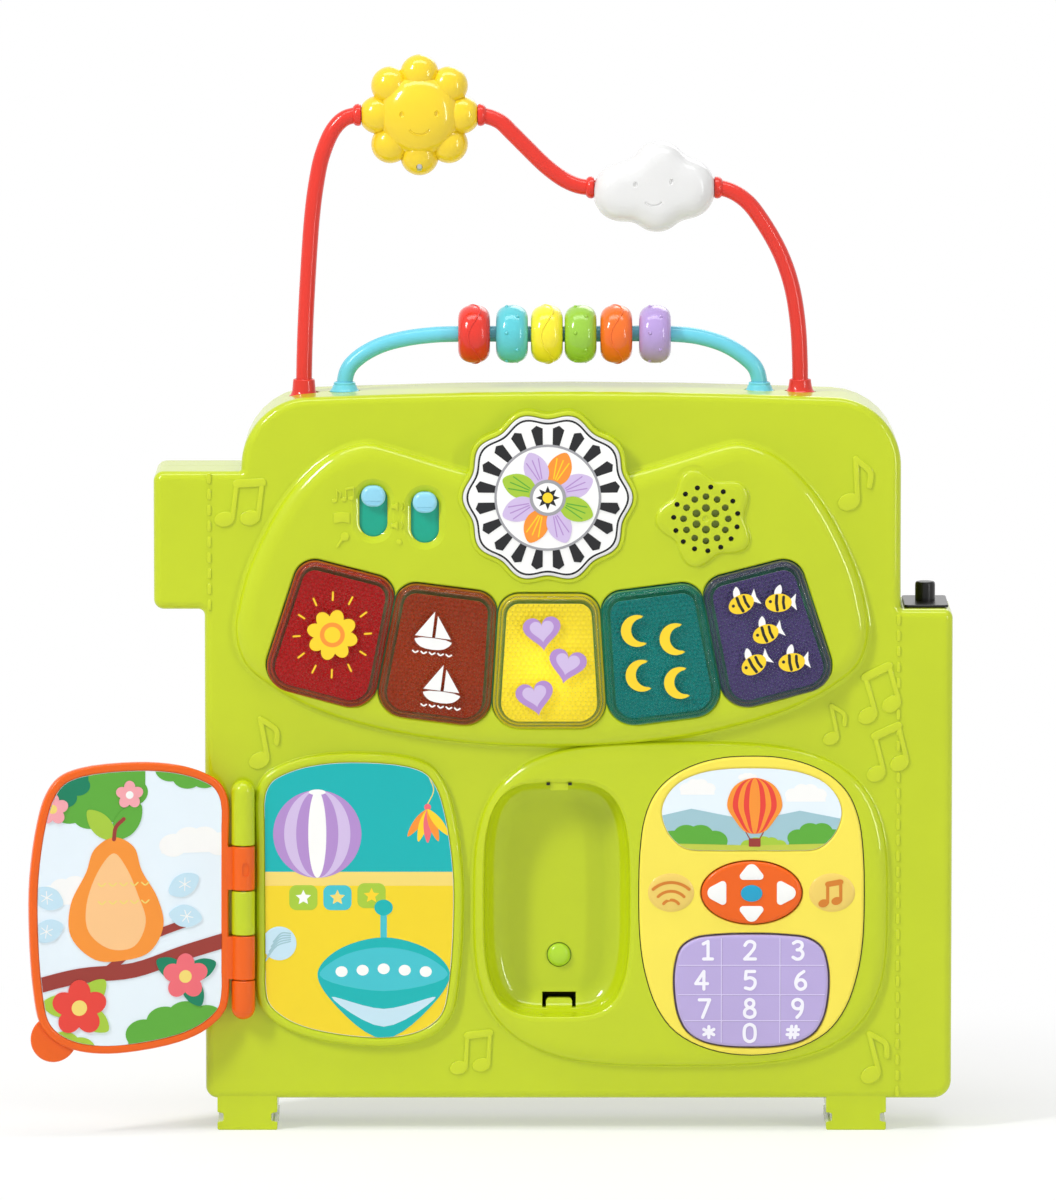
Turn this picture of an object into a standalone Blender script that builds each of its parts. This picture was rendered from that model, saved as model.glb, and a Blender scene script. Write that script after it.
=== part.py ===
"""Upright musical activity panel for babies, in real metres, +Z up, front facing -Y.

The panel is drawn in a front frame: X across, Y up, Z out towards the child. The empty named
front_frame turns that frame upright and puts the middle of the front housing's share of the left
foot's sole at the origin. Z = 0 in the front frame is where the two housings meet.
"""
import math

import bmesh
import bpy
from mathutils import Matrix, Vector

# Housing outline
UPPER_WIDTH = 0.3280
UPPER_CENTRE = 0.0095
PANEL_TOP = 0.3727
TOP_ARCH_DROP = 0.0060
SHOULDER_RADIUS = 0.0345
TOP_ARCH_RADIUS = 3.0
TAB_WIDTH = 0.0437
TAB_TOP = 0.3310
TAB_BOTTOM = 0.2620
TAB_RADIUS = 0.0050
TAB_UNDERCUT = 0.0252
BLOCK_WIDTH = 0.0260
BLOCK_TOP = 0.2620
BLOCK_TOP_RADIUS = 0.0045
BASE_RIGHT_RADIUS = 0.0090
BASE_LEFT_RADIUS = 0.0060
INNER_CORNER_RADIUS = 0.0015
UNDERCUT_RADIUS = 0.0030

# Housing depths and walls
FRONT_DEPTH = 0.0300
REAR_DEPTH = 0.0300
EDGE_RADIUS = 0.0035
WALL = 0.0025
SEAT_GAP = 0.0003
OVERRUN = 0.0100
FACET = 0.00018

# Feet, which are clip lugs
FOOT_HEIGHT = 0.0160
FOOT_WIDTH = 0.0300
FOOT_INSET = 0.0012
FOOT_ROOT = 0.0060
FOOT_NOTCH = 0.0030
FOOT_NOTCH_LOW = 0.0040
FOOT_NOTCH_HEIGHT = 0.0050
FOOT_NOTCH_SLOPE = 0.0006
LEFT_FOOT_ACROSS = -0.1523
RIGHT_FOOT_ACROSS = 0.1520

# Key island
KEY_ISLAND_HALF_WIDTH = 0.1572
KEY_ISLAND_BOTTOM = 0.1938
KEY_ISLAND_HEIGHT = 0.1516
KEY_ISLAND_FRONT = 0.0370
KEY_ISLAND_EDGE = 0.0050
KEY_ISLAND_WALL = 0.0019
KEY_ISLAND_SHARES = (
    (0.0, 0.879), (0.175, 0.889), (0.286, 0.913), (0.41, 0.951), (0.512, 0.984),
    (0.582, 1.0), (0.633, 0.991), (0.706, 0.958), (0.773, 0.902), (0.849, 0.809),
    (0.913, 0.693), (0.964, 0.57), (0.989, 0.47), (1.0, 0.381), (0.973, 0.278),
    (0.894, 0.204), (0.747, 0.122), (0.56, 0.062), (0.379, 0.026), (0.194, 0.006), (0.0, 0.0))

# Phone island, its cradle and its fascia
PHONE_ACROSS = 0.0640
PHONE_UP = 0.1145
PHONE_HALF_WIDTH = 0.1033
PHONE_HALF_HEIGHT = 0.0815
PHONE_POWER = 3.3
PHONE_FRONT = 0.0350
PHONE_EDGE = 0.0040
CRADLE_ACROSS = 0.0024
CRADLE_UP = 0.1168
CRADLE_HALF_WIDTH = 0.0361
CRADLE_HALF_HEIGHT = 0.0586
CRADLE_POWER = 3.6
CRADLE_DEPTH = 0.0200
CRADLE_FLOOR_RADIUS = 0.0120
CRADLE_CATCH_UP = 0.0640
CRADLE_CATCH_WIDTH = 0.0170
CRADLE_CATCH_HEIGHT = 0.0070
CRADLE_CATCH_GAP = 0.0028
FASCIA_ACROSS = 0.0994
FASCIA_TOP = 0.1890
FASCIA_HALF_WIDTH = 0.0560
FASCIA_HEIGHT = 0.1500
FASCIA_THICKNESS = 0.0040
FASCIA_SINK = 0.0030
FASCIA_EDGE = 0.0012
FASCIA_SHARES = (
    (0.0, 0.0), (0.25, 0.005), (0.5, 0.028), (0.714, 0.07), (0.857, 0.126), (0.946, 0.205),
    (0.987, 0.309), (1.0, 0.466), (0.987, 0.617), (0.942, 0.725), (0.839, 0.839),
    (0.67, 0.923), (0.375, 0.98), (0.0, 1.0))
WINDOW_TOP = 0.1832
WINDOW_HALF_WIDTH = 0.0447
WINDOW_HEIGHT = 0.0412
WINDOW_DEPTH = 0.0011
WINDOW_SHARES = (
    (0.0, 0.0), (0.3, 0.01), (0.57, 0.06), (0.8, 0.17), (0.94, 0.33), (1.0, 0.52),
    (0.96, 0.72), (0.86, 0.88), (0.72, 0.98), (0.45, 1.0), (0.0, 1.0))
CARD_THICKNESS = 0.0007
KEYPAD_TOP = 0.0997
KEYPAD_HALF_WIDTH = 0.0382
KEYPAD_HEIGHT = 0.0563
KEYPAD_SHARES = (
    (0.0, 0.0), (0.45, 0.01), (0.74, 0.04), (0.91, 0.12), (0.98, 0.26), (1.0, 0.42),
    (0.975, 0.62), (0.93, 0.74), (0.83, 0.86), (0.66, 0.94), (0.4, 0.985), (0.0, 1.0))
PAD_UP = 0.1209
PAD_HALF_WIDTH = 0.0250
PAD_HALF_HEIGHT = 0.0157
PAD_RISE = 0.0014
PAD_EDGE = 0.0010
PAD_FLANGE = 0.0014
PAD_FLANGE_THICKNESS = 0.0015
PAD_TRAVEL = 0.0012
PAD_CLEARANCE = 0.0004
ICON_OFFSET = 0.0401
ICON_HALF_WIDTH = 0.0115
ICON_HALF_HEIGHT = 0.0097
ICON_RISE = 0.0010

# Picture bezel and its door
BEZEL_LEFT = -0.1475
BEZEL_BOTTOM = 0.0430
BEZEL_WIDTH = 0.1030
BEZEL_HEIGHT = 0.1476
BEZEL_FRONT = 0.0340
BEZEL_EDGE = 0.0010
BEZEL_BORDER = 0.0048
BEZEL_SHARES = (
    (0.0, 0.188), (0.023, 0.129), (0.11, 0.072), (0.25, 0.03), (0.52, 0.0), (0.686, 0.002),
    (0.805, 0.022), (0.892, 0.058), (0.948, 0.11), (0.98, 0.222), (1.0, 0.43), (0.996, 0.614),
    (0.957, 0.8), (0.914, 0.895), (0.85, 0.954), (0.741, 0.985), (0.457, 1.0), (0.25, 0.986),
    (0.12, 0.957), (0.043, 0.923), (0.0, 0.862), (0.0, 0.7), (0.0, 0.5), (0.0, 0.32))
HINGE_ACROSS = -0.1540
HINGE_OUT = 0.0362
HINGE_RADIUS = 0.0059
HINGE_BORE = 0.0018
HINGE_PIN_RADIUS = 0.0015
HINGE_WEB = 0.0050
KNUCKLE_GAP = 0.0005
KNUCKLE_LENGTH = 0.0220
TOP_KNUCKLE_LENGTH = 0.0325
TOP_KNUCKLE_TOP = 0.1774
CAP_LENGTH = 0.0198
PIN_CAP_DEPTH = 0.0080
DOOR_START = 0.0075
DOOR_WIDTH = 0.1012
DOOR_HEIGHT = 0.1455
DOOR_BOTTOM = 0.0425
DOOR_THICKNESS = 0.0050
DOOR_EDGE = 0.0012
DOOR_BORDER = 0.0042
DOOR_RECESS = 0.0013
DOOR_CLEARANCE = 0.0006
DOOR_OPEN_ANGLE = math.radians(166.0)
LIFT_RADIUS = 0.0118
LIFT_REACH_SHARE = 0.876
LIFT_UP_SHARE = 0.055

# Badge
BADGE_ACROSS = -0.0022
BADGE_UP = 0.3190
BADGE_RADIUS = 0.0405
BADGE_SCALLOP = 0.0016
BADGE_LOBES = 10
BADGE_RIM = 0.0026
BADGE_RISE = 0.0010
BADGE_SINK = 0.0016
BADGE_THICKNESS = 0.0020

# Light-up keys on an arc
KEY_COUNT = 5
KEY_ARC_ACROSS = -0.0015
KEY_MIDDLE_UP = 0.2373
KEY_ARC_RADIUS = 0.4300
KEY_PITCH = math.radians(7.25)
KEY_HEIGHT = 0.0672
KEY_SIDE_GAP = 0.0008
KEY_TOP_RADIUS = 0.0105
KEY_BOTTOM_RADIUS = 0.0135
KEY_RISE = 0.0065
KEY_EDGE = 0.0035
KEY_SKIRT = 0.0110
KEY_WALL = 0.0018
KEY_CLEARANCE = 0.0005
KEY_TRAVEL = 0.0030
KEY_LUG_WIDTH = 0.0090
KEY_LUG_REACH = 0.0015
KEY_LUG_THICKNESS = 0.0015
KEY_PLATE_INSET = 0.0036
KEY_PLATE_THICKNESS = 0.0015

# Slide switches
SWITCH_PLACES = ((-0.0888, 0.3121), (-0.0632, 0.3090))
SWITCH_SLOT_WIDTH = 0.0140
SWITCH_SLOT_HEIGHT = 0.0258
SWITCH_KNOB_WIDTH = 0.0114
SWITCH_KNOB_HEIGHT = 0.0100
SWITCH_KNOB_RISE = 0.0020
SWITCH_TRAVEL = 0.0130
SWITCH_PLATE_THICKNESS = 0.0015
SWITCH_PLATE_LAP = 0.0003

# Speaker and its star-shaped grille
SPEAKER_ACROSS = 0.0763
SPEAKER_UP = 0.3085
STAR_RADIUS = 0.0220
STAR_WAVE = 0.0030
STAR_ARMS = 5
STAR_TURN = math.radians(110.0)
STAR_RISE = 0.0020
GRILLE_RINGS = ((6, 0.0054, 0.0020, 30.0), (12, 0.0111, 0.0017, 0.0), (15, 0.0160, 0.0013, 9.5))
BAFFLE_THICKNESS = 0.0008
SPEAKER_RADIUS = 0.0200
SPEAKER_RIM_THICKNESS = 0.0016
SPEAKER_CONE_DEPTH = 0.0070
MAGNET_RADIUS = 0.0115
MAGNET_DEPTH = 0.0085
SPEAKER_RING_WALL = 0.0018
SPEAKER_RING_DEPTH = 0.0060

# Hook button in the cradle
HOOK_ACROSS = 0.0035
HOOK_UP = 0.0867
HOOK_RADIUS = 0.0058
HOOK_RISE = 0.0035
HOOK_FLANGE = 0.0020
HOOK_FLANGE_THICKNESS = 0.0015
HOOK_TRAVEL = 0.0025

# Wires, ferrules and what rides on them
WIRE_RADIUS = 0.0040
WIRE_CLEARANCE = 0.0003
WIRE_SOCKET_WALL = 0.0020
WIRE_SOCKET_DEPTH = 0.0200
COLLAR_HALF = 0.0012
COLLAR_SHARES = ((-1, 1.0, 1.0), (-1, 0.5, 1.4), (1, 0.5, 1.4), (1, 1.0, 1.0))
COLLAR_GAP = 0.0004
WIRE_TURN = math.radians(4.0)
RED_FOOT_ACROSS = 0.1238
RED_SEAT_DROPS = (0.0077, 0.0057)
BLUE_FOOT_ACROSS = 0.1035
BLUE_SEAT_DROPS = (0.0052, 0.0052)
FERRULE_TOP_RADIUS = 0.0052
FERRULE_BASE_RADIUS = 0.0073
FERRULE_FLARE = 0.0030
FERRULE_LIP = 0.0008
RED_FERRULE_RISE = 0.0016
BLUE_FERRULE_RISE = 0.0001
BEAD_AXIS_RISE = 0.0243
BEAD_RADIUS = 0.0145
BEAD_WIDTH = 0.0162
BEAD_BORE = 0.0045
BEAD_PLACES = (-0.0389, -0.0200, -0.0026, 0.0142, 0.0320, 0.0513)
BEAD_SHARES = ((0.70, 0.98), (0.93, 0.78), (1.0, 0.35))
SUN_ACROSS = -0.0660
SUN_OVER_CLOUD = 0.0362
SUN_RADIUS = 0.0205
SUN_DEPTH = 0.0130
SUN_LOBES = 8
SUN_LOBE_RADIUS = 0.0098
SUN_LOBE_DEPTH = 0.0092
SUN_LOBE_ORBIT = 0.0202
SUN_HALF_LENGTH = 0.0288
CLOUD_ACROSS = 0.0508
CLOUD_OVER_BEADS = 0.0733
CLOUD_HALF_LENGTH = 0.0298
CLOUD_LOBES = (
    (0.0025, 0.0070, 0.0165, 0.0135), (-0.0205, 0.0, 0.0125, 0.0110),
    (0.0205, -0.0005, 0.0122, 0.0110), (-0.0005, -0.0065, 0.0155, 0.0130))
SHELL_WALL = 0.0022
LOBE_TWIST = 0.17
AXLE_CLEARANCE = 0.0006
HUB_WALL = 0.0016
SUN_SCREW_RADIUS = 0.0024
SUN_SCREW_LENGTH = 0.0110

# Peg and socket that hinge one panel to the next
PEG_RADIUS = 0.0050
PEG_HEIGHT = 0.0096
PEG_STEM = 0.0180
PEG_PLATE_DEPTH = 0.0440
PEG_PLATE_THICKNESS = 0.0012
PEG_EDGE = 0.0008
SOCKET_DEPTH = 0.0120
SOCKET_WALL = 0.0030
SOCKET_CLEARANCE = 0.0003

# Boards, batteries and screws
BOARD_THICKNESS = 0.0016
BOARD_GAP = 0.0004
MAIN_BOARD_WIDTH = 0.1000
MAIN_BOARD_BOTTOM = 0.0460
MAIN_BOARD_HEIGHT = 0.1130
POST_RADIUS = 0.0025
MAIN_POST_ACROSS = 0.0460
MAIN_POST_UP = 0.1120
MAIN_POST_UPPER_ACROSS = 0.0400
MAIN_POST_UPPER_UP = 0.1500
KEY_BOARD_UPPER_LAP = 0.0054
KEY_BOARD_LOWER_LAP = 0.0049
KEY_BOARD_MARGIN = math.radians(0.3)
KEY_POST_INSET = 0.0030
KEY_UPPER_POST_INSET = 0.0035
SCREW_PLACES = (
    (-0.1400, 0.3380), (0.1420, 0.3380), (-0.1630, 0.2050), (0.1630, 0.2050),
    (-0.1000, 0.0290), (0.1660, 0.0300))
SCREW_SHANK = 0.0014
SCREW_HEAD = 0.0029
SCREW_HEAD_HEIGHT = 0.0020
SCREW_LENGTH = 0.0240
SCREW_CLEARANCE = 0.0002
SCREW_SINK = 0.0160
BOSS_RADIUS = 0.0048
BATTERY_COUNT = 3
BATTERY_RADIUS = 0.0071
BATTERY_LENGTH = 0.0500
BATTERY_NUB_RADIUS = 0.0026
BATTERY_NUB = 0.0010
BATTERY_PITCH = 0.0147
BATTERY_ACROSS = 0.0
BATTERY_UP = 0.1300
BATTERY_CLEARANCE = 0.0004
BATTERY_DOOR_LAP = 0.0030
BATTERY_DOOR_TONGUE = 0.0100
BATTERY_DOOR_THICKNESS = 0.0020
BATTERY_DOOR_RADIUS = 0.0030
BATTERY_SCREW_LENGTH = 0.0090

# Counts of facets
ROUND_STEPS = 20
SMALL_STEPS = 12
HOLE_STEPS = 8
GRILLE_STEPS = 6
DOME_STEPS = 3
BARREL_STEPS = 16
BEAD_STEPS = 14
EDGE_STEPS = 2

# Colours
LIME = (0.546, 0.686, 0.027)
RED = (0.855, 0.044, 0.026)
BLUE = (0.150, 0.597, 0.745)
YELLOW = (0.930, 0.735, 0.042)
GREEN = (0.263, 0.509, 0.048)
ORANGE = (0.888, 0.147, 0.015)
LILAC = (0.462, 0.381, 0.686)
WHITE = (0.905, 0.905, 0.890)
FASCIA_YELLOW = (0.888, 0.753, 0.093)
TEAL = (0.0, 0.371, 0.250)
SKY = (0.275, 0.631, 0.807)
BLACK = (0.006, 0.006, 0.006)
STEEL = (0.560, 0.570, 0.580)
BOARD_GREEN = (0.020, 0.200, 0.080)
PAPER = (0.700, 0.780, 0.800)
KEY_TINTS = (
    ("red", (0.62, 0.015, 0.012)), ("orange", (0.70, 0.13, 0.01)),
    ("yellow", (0.90, 0.70, 0.02)), ("teal", (0.02, 0.40, 0.38)),
    ("purple", (0.17, 0.11, 0.30)))
BEAD_COLOURS = (
    ("red", RED), ("blue", BLUE), ("yellow", YELLOW), ("green", GREEN), ("orange", ORANGE),
    ("lilac", LILAC))

# Sizes worked out from the ones above
UPPER_LEFT = UPPER_CENTRE - UPPER_WIDTH / 2
UPPER_RIGHT = UPPER_CENTRE + UPPER_WIDTH / 2
TAB_LEFT = UPPER_LEFT - TAB_WIDTH
LOWER_LEFT = TAB_LEFT + TAB_UNDERCUT
LOWER_RIGHT = UPPER_RIGHT + BLOCK_WIDTH
SHOULDER_TOP = PANEL_TOP - TOP_ARCH_DROP
ROOF = FRONT_DEPTH - WALL
KEY_ROOF = KEY_ISLAND_FRONT - WALL
PHONE_ROOF = PHONE_FRONT - WALL
CRADLE_FLOOR = PHONE_FRONT - CRADLE_DEPTH
FASCIA_SEAT = PHONE_FRONT - FASCIA_SINK
FASCIA_BACK = FASCIA_SEAT + SEAT_GAP
FASCIA_FRONT = FASCIA_BACK + FASCIA_THICKNESS
PAD_FRONT = FASCIA_FRONT + PAD_RISE
PAD_FLANGE_FRONT = FASCIA_BACK - SEAT_GAP
PAD_BACK = FASCIA_SEAT - WALL - PAD_TRAVEL
MAIN_BOARD_FRONT = PAD_BACK - PAD_TRAVEL - BOARD_GAP
BADGE_FRONT = KEY_ISLAND_FRONT + BADGE_RISE
BADGE_SEAT = BADGE_FRONT - BADGE_SINK
KEY_FRONT = KEY_ISLAND_FRONT + KEY_RISE
KEY_BACK = KEY_ISLAND_FRONT - KEY_SKIRT
KEY_BOARD_FRONT = KEY_BACK - KEY_TRAVEL - BOARD_GAP
KEY_ARC_UP = KEY_MIDDLE_UP + KEY_ARC_RADIUS
KEY_BOARD_INNER = KEY_ARC_RADIUS - KEY_HEIGHT / 2 - KEY_BOARD_UPPER_LAP
KEY_BOARD_OUTER = KEY_ARC_RADIUS + KEY_HEIGHT / 2 + KEY_BOARD_LOWER_LAP
KEY_POST_ORBIT = KEY_BOARD_OUTER - KEY_POST_INSET
KEY_UPPER_POST_ORBIT = KEY_BOARD_INNER + KEY_UPPER_POST_INSET
DOOR_BACK = BEZEL_FRONT + DOOR_CLEARANCE
RED_SEATS = tuple(PANEL_TOP - drop for drop in RED_SEAT_DROPS)
BLUE_SEATS = tuple(PANEL_TOP - drop for drop in BLUE_SEAT_DROPS)
RED_FERRULE_TOP = PANEL_TOP + RED_FERRULE_RISE
BLUE_FERRULE_TOP = PANEL_TOP + BLUE_FERRULE_RISE
BEAD_AXIS_UP = PANEL_TOP + BEAD_AXIS_RISE
CLOUD_UP = BEAD_AXIS_UP + CLOUD_OVER_BEADS
SUN_UP = CLOUD_UP + SUN_OVER_CLOUD
SOCKET_ACROSS = (TAB_LEFT + LOWER_LEFT) / 2
PEG_ACROSS = (UPPER_RIGHT + LOWER_RIGHT) / 2
STAR_FRONT = KEY_ISLAND_FRONT + STAR_RISE
BATTERY_DOOR_BACK = -REAR_DEPTH
BATTERY_DOOR_SEAT = BATTERY_DOOR_BACK + BATTERY_DOOR_THICKNESS
BATTERY_OUT = BATTERY_DOOR_SEAT + SEAT_GAP + BATTERY_CLEARANCE + BATTERY_RADIUS
BATTERY_ROOF = BATTERY_OUT + BATTERY_RADIUS + BATTERY_CLEARANCE
POCKET_WIDTH = BATTERY_LENGTH + BATTERY_NUB + 2 * BATTERY_CLEARANCE
POCKET_HEIGHT = BATTERY_PITCH * (BATTERY_COUNT - 1) + 2 * (BATTERY_RADIUS + BATTERY_CLEARANCE)


def clear_scene():
    for item in list(bpy.data.objects):
        bpy.data.objects.remove(item, do_unlink=True)


def new_collection(name):
    collection = bpy.data.collections.new(name)
    bpy.context.scene.collection.children.link(collection)
    return collection


def material(name, colour, roughness=0.35, metallic=0.0, alpha=1.0):
    made = bpy.data.materials.get(name)
    if made is None:
        made = bpy.data.materials.new(name)
        made.use_nodes = True
        shader = made.node_tree.nodes["Principled BSDF"]
        shader.inputs["Base Color"].default_value = (*colour, 1.0)
        shader.inputs["Roughness"].default_value = roughness
        shader.inputs["Metallic"].default_value = metallic
        shader.inputs["Alpha"].default_value = alpha
    return made


clear_scene()
PARTS = new_collection("musical_activity_center")
CUTTERS = new_collection("cutters")


def frame_empty(name, parent=None, place=(0, 0, 0), turn=(0, 0, 0)):
    made = bpy.data.objects.new(name, None)
    PARTS.objects.link(made)
    made.parent = parent
    made.location = place
    made.rotation_euler = turn
    return made


FRONT = frame_empty(
    "front_frame", None, (-LEFT_FOOT_ACROSS, (FRONT_DEPTH - FOOT_INSET) / 2, 0),
    (math.pi / 2, 0, 0))


# Outlines, each a list of points that runs anticlockwise
def offset(points, inset):
    """Move each side of a closed outline inwards by inset."""
    if inset == 0:
        return list(points)
    moved = []
    for i, point in enumerate(points):
        before = Vector(points[i - 1])
        here = Vector(point)
        after = Vector(points[(i + 1) % len(points)])
        first = (here - before).normalized()
        second = (after - here).normalized()
        side = Vector((-first.y, first.x)) + Vector((-second.y, second.x))
        moved.append(tuple(here + side * inset / (1 + first.dot(second))))
    return moved


def rounded(corners, inset=0.0):
    """Round the corners (across, up, radius) of a polygon after moving its sides inwards."""
    places = offset([corner[:2] for corner in corners], inset)
    points = []
    for i, place in enumerate(places):
        here = Vector(place)
        back = (Vector(places[i - 1]) - here).normalized()
        ahead = (Vector(places[(i + 1) % len(places)]) - here).normalized()
        convex = ahead.x * back.y - ahead.y * back.x > 0
        radius = corners[i][2] - inset if convex else corners[i][2] + inset
        radius = max(radius, FACET)
        half = back.angle(ahead) / 2
        middle = here + (back + ahead).normalized() * radius / math.sin(half)
        start = here + back * radius / math.tan(half) - middle
        sweep = math.pi - 2 * half
        step = 2 * math.acos(max(0.0, 1 - FACET / radius))
        count = max(1, math.ceil(sweep / step))
        for k in range(count + 1):
            angle = sweep * k / count * (1 if convex else -1)
            spoke = Matrix.Rotation(angle, 2) @ start
            points.append(tuple(middle + spoke))
    return points


def smooth(points, steps):
    """Read a closed centripetal Catmull-Rom curve through the points."""
    made = []
    count = len(points)
    for i in range(count):
        four = [Vector(points[(i + k - 1) % count]) for k in range(4)]
        knots = [0.0]
        for first, second in zip(four, four[1:]):
            knots.append(knots[-1] + math.sqrt((second - first).length))
        for k in range(steps):
            t = knots[1] + (knots[2] - knots[1]) * k / steps
            level = four
            for span in (1, 2):
                level = [
                    (level[j] * (knots[j + span] - t) + level[j + 1] * (t - knots[j]))
                    / (knots[j + span] - knots[j]) for j in range(len(level) - 1)]
            weight = (t - knots[1]) / (knots[2] - knots[1])
            made.append(tuple(level[0] * (1 - weight) + level[1] * weight))
    return made


def mirrored(shares):
    """Turn the right half of a shape, top to bottom, into the whole shape, anticlockwise."""
    left = [(-x, y) for x, y in shares]
    right = [share for share in reversed(shares) if share[0] > 0]
    return left + right


def upright_shape(shares, across, top, half_width, height, inset=0.0, steps=1):
    """A symmetric shape whose shares are measured down from its top."""
    points = [(across + x * half_width, top - y * height) for x, y in mirrored(shares)]
    return offset(smooth(points, steps), inset)


def key_island_outline(inset=0.0):
    flipped = [(x, 1 - y) for x, y in KEY_ISLAND_SHARES]
    top = KEY_ISLAND_BOTTOM + KEY_ISLAND_HEIGHT
    return upright_shape(flipped, 0, top, KEY_ISLAND_HALF_WIDTH, KEY_ISLAND_HEIGHT, inset)


def superellipse(across, up, half_width, half_height, power, count, inset=0.0):
    points = []
    for k in range(count):
        angle = 2 * math.pi * k / count
        c = math.cos(angle)
        s = math.sin(angle)
        x = math.copysign(abs(c) ** (2 / power), c) * half_width
        y = math.copysign(abs(s) ** (2 / power), s) * half_height
        points.append((across + x, up + y))
    return offset(points, inset)


def waved(across, up, radius, wave, lobes, turn, count, inset=0.0):
    """A round outline with lobes, such as a star or a scalloped badge."""
    points = []
    for k in range(count):
        angle = 2 * math.pi * k / count
        reach = radius + wave * math.cos(lobes * (angle - turn))
        points.append((across + reach * math.cos(angle), up + reach * math.sin(angle)))
    return offset(points, inset)


def slot_outline(across, up, width, height, inset=0.0):
    """A rectangle whose ends are half circles."""
    return box_outline(across, up, width, height, min(width, height) / 2 - FACET, inset)


def box_outline(across, up, width, height, radius, inset=0.0):
    left = across - width / 2
    right = across + width / 2
    low = up - height / 2
    high = up + height / 2
    corners = ((left, low), (right, low), (right, high), (left, high))
    return rounded([(*corner, radius) for corner in corners], inset)


def panel_outline(inset=0.0):
    """The whole panel seen from the front, with its tab on the left and block on the right."""
    corners = (
        (LOWER_LEFT, FOOT_HEIGHT, BASE_LEFT_RADIUS),
        (LOWER_RIGHT, FOOT_HEIGHT, BASE_RIGHT_RADIUS),
        (LOWER_RIGHT, BLOCK_TOP, BLOCK_TOP_RADIUS),
        (UPPER_RIGHT, BLOCK_TOP, INNER_CORNER_RADIUS),
        (UPPER_RIGHT, SHOULDER_TOP, SHOULDER_RADIUS),
        (UPPER_CENTRE, PANEL_TOP, TOP_ARCH_RADIUS),
        (UPPER_LEFT, SHOULDER_TOP, SHOULDER_RADIUS),
        (UPPER_LEFT, TAB_TOP, INNER_CORNER_RADIUS),
        (TAB_LEFT, TAB_TOP, TAB_RADIUS),
        (TAB_LEFT, TAB_BOTTOM, TAB_RADIUS),
        (LOWER_LEFT, TAB_BOTTOM, UNDERCUT_RADIUS))
    return rounded(corners, inset)


def side_shape(left, bottom, width, height, inset=0.0, steps=1):
    """The bezel's shape: straight on the hinge side and bowed on the other."""
    points = [(left + x * width, bottom + y * height) for x, y in BEZEL_SHARES]
    return offset(smooth(points, steps), inset)


def key_outline(inset=0.0):
    """A key about its own middle: its sides run along radii of the key arc."""
    half = KEY_HEIGHT / 2
    slope = math.tan(KEY_PITCH / 2)
    top = (KEY_ARC_RADIUS - half) * slope - KEY_SIDE_GAP / 2
    bottom = (KEY_ARC_RADIUS + half) * slope - KEY_SIDE_GAP / 2
    corners = (
        (-bottom, -half, KEY_BOTTOM_RADIUS), (bottom, -half, KEY_BOTTOM_RADIUS),
        (top, half, KEY_TOP_RADIUS), (-top, half, KEY_TOP_RADIUS))
    return rounded(corners, inset)


# Solids
def finish_object(name, mesh, parent, paint=None, place=(0, 0, 0), turn=(0, 0, 0)):
    """Put a mesh into the scene as a part, or as a cutter where it has no paint."""
    made = bpy.data.objects.new(name, mesh)
    made.parent = parent
    made.location = place
    made.rotation_euler = turn
    if paint is None:
        CUTTERS.objects.link(made)
        made.hide_render = True
        made.display_type = "WIRE"
    else:
        PARTS.objects.link(made)
        mesh.materials.clear()
        mesh.materials.append(paint)
        mesh.shade_smooth()
        mesh.set_sharp_from_angle(angle=math.radians(35.0))
    return made


def curve_to_mesh(curve):
    """The mesh of a filled curve, with its caps welded on."""
    helper = bpy.data.objects.new(curve.name, curve)
    bpy.context.scene.collection.objects.link(helper)
    depsgraph = bpy.context.evaluated_depsgraph_get()
    mesh = bpy.data.meshes.new_from_object(helper.evaluated_get(depsgraph))
    bpy.data.objects.remove(helper, do_unlink=True)
    shape = bmesh.new()
    shape.from_mesh(mesh)
    bmesh.ops.remove_doubles(shape, verts=shape.verts, dist=FACET / 100)
    shape.to_mesh(mesh)
    shape.free()
    return mesh


def slab_mesh(name, outline, low, high, front=0.0, back=0.0, steps=EDGE_STEPS):
    """A flat outline with a thickness, whose front and back edges may be rounded."""
    edge = max(front, back)
    bottom = low if back > 0 else low - 2 * edge
    top = high if front > 0 else high + 2 * edge
    curve = bpy.data.curves.new(name, "CURVE")
    curve.dimensions = "2D"
    curve.fill_mode = "BOTH"
    curve.bevel_depth = edge
    curve.bevel_resolution = steps - 1
    curve.extrude = (top - bottom) / 2 - edge
    points = offset(outline, edge)
    spline = curve.splines.new("POLY")
    spline.points.add(len(points) - 1)
    for point, place in zip(spline.points, points):
        point.co = (*place, 0, 1)
    spline.use_cyclic_u = True
    mesh = curve_to_mesh(curve)
    shape = bmesh.new()
    shape.from_mesh(mesh)
    for side in (1, -1):
        cap = [face for face in shape.faces if face.normal.z * side > 1 - FACET]
        bmesh.ops.dissolve_faces(shape, faces=cap)
    bmesh.ops.translate(shape, verts=shape.verts, vec=(0, 0, (bottom + top) / 2))
    for side, height, surplus in ((-1, low, low - bottom), (1, high, top - high)):
        if surplus <= 0:
            continue
        everything = [*shape.verts, *shape.edges, *shape.faces]
        bmesh.ops.bisect_plane(
            shape, geom=everything, plane_co=(0, 0, height), plane_no=(0, 0, side),
            clear_outer=True)
        rim = [item for item in shape.edges if item.is_boundary]
        bmesh.ops.contextual_create(shape, geom=rim)
    bmesh.ops.recalc_face_normals(shape, faces=shape.faces)
    shape.to_mesh(mesh)
    shape.free()
    return mesh


def slab(name, outline, low, high, front=0.0, back=0.0, steps=EDGE_STEPS, parent=None, paint=None):
    mesh = slab_mesh(name, outline, low, high, front, back, steps)
    return finish_object(name, mesh, parent or FRONT, paint)


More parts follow.
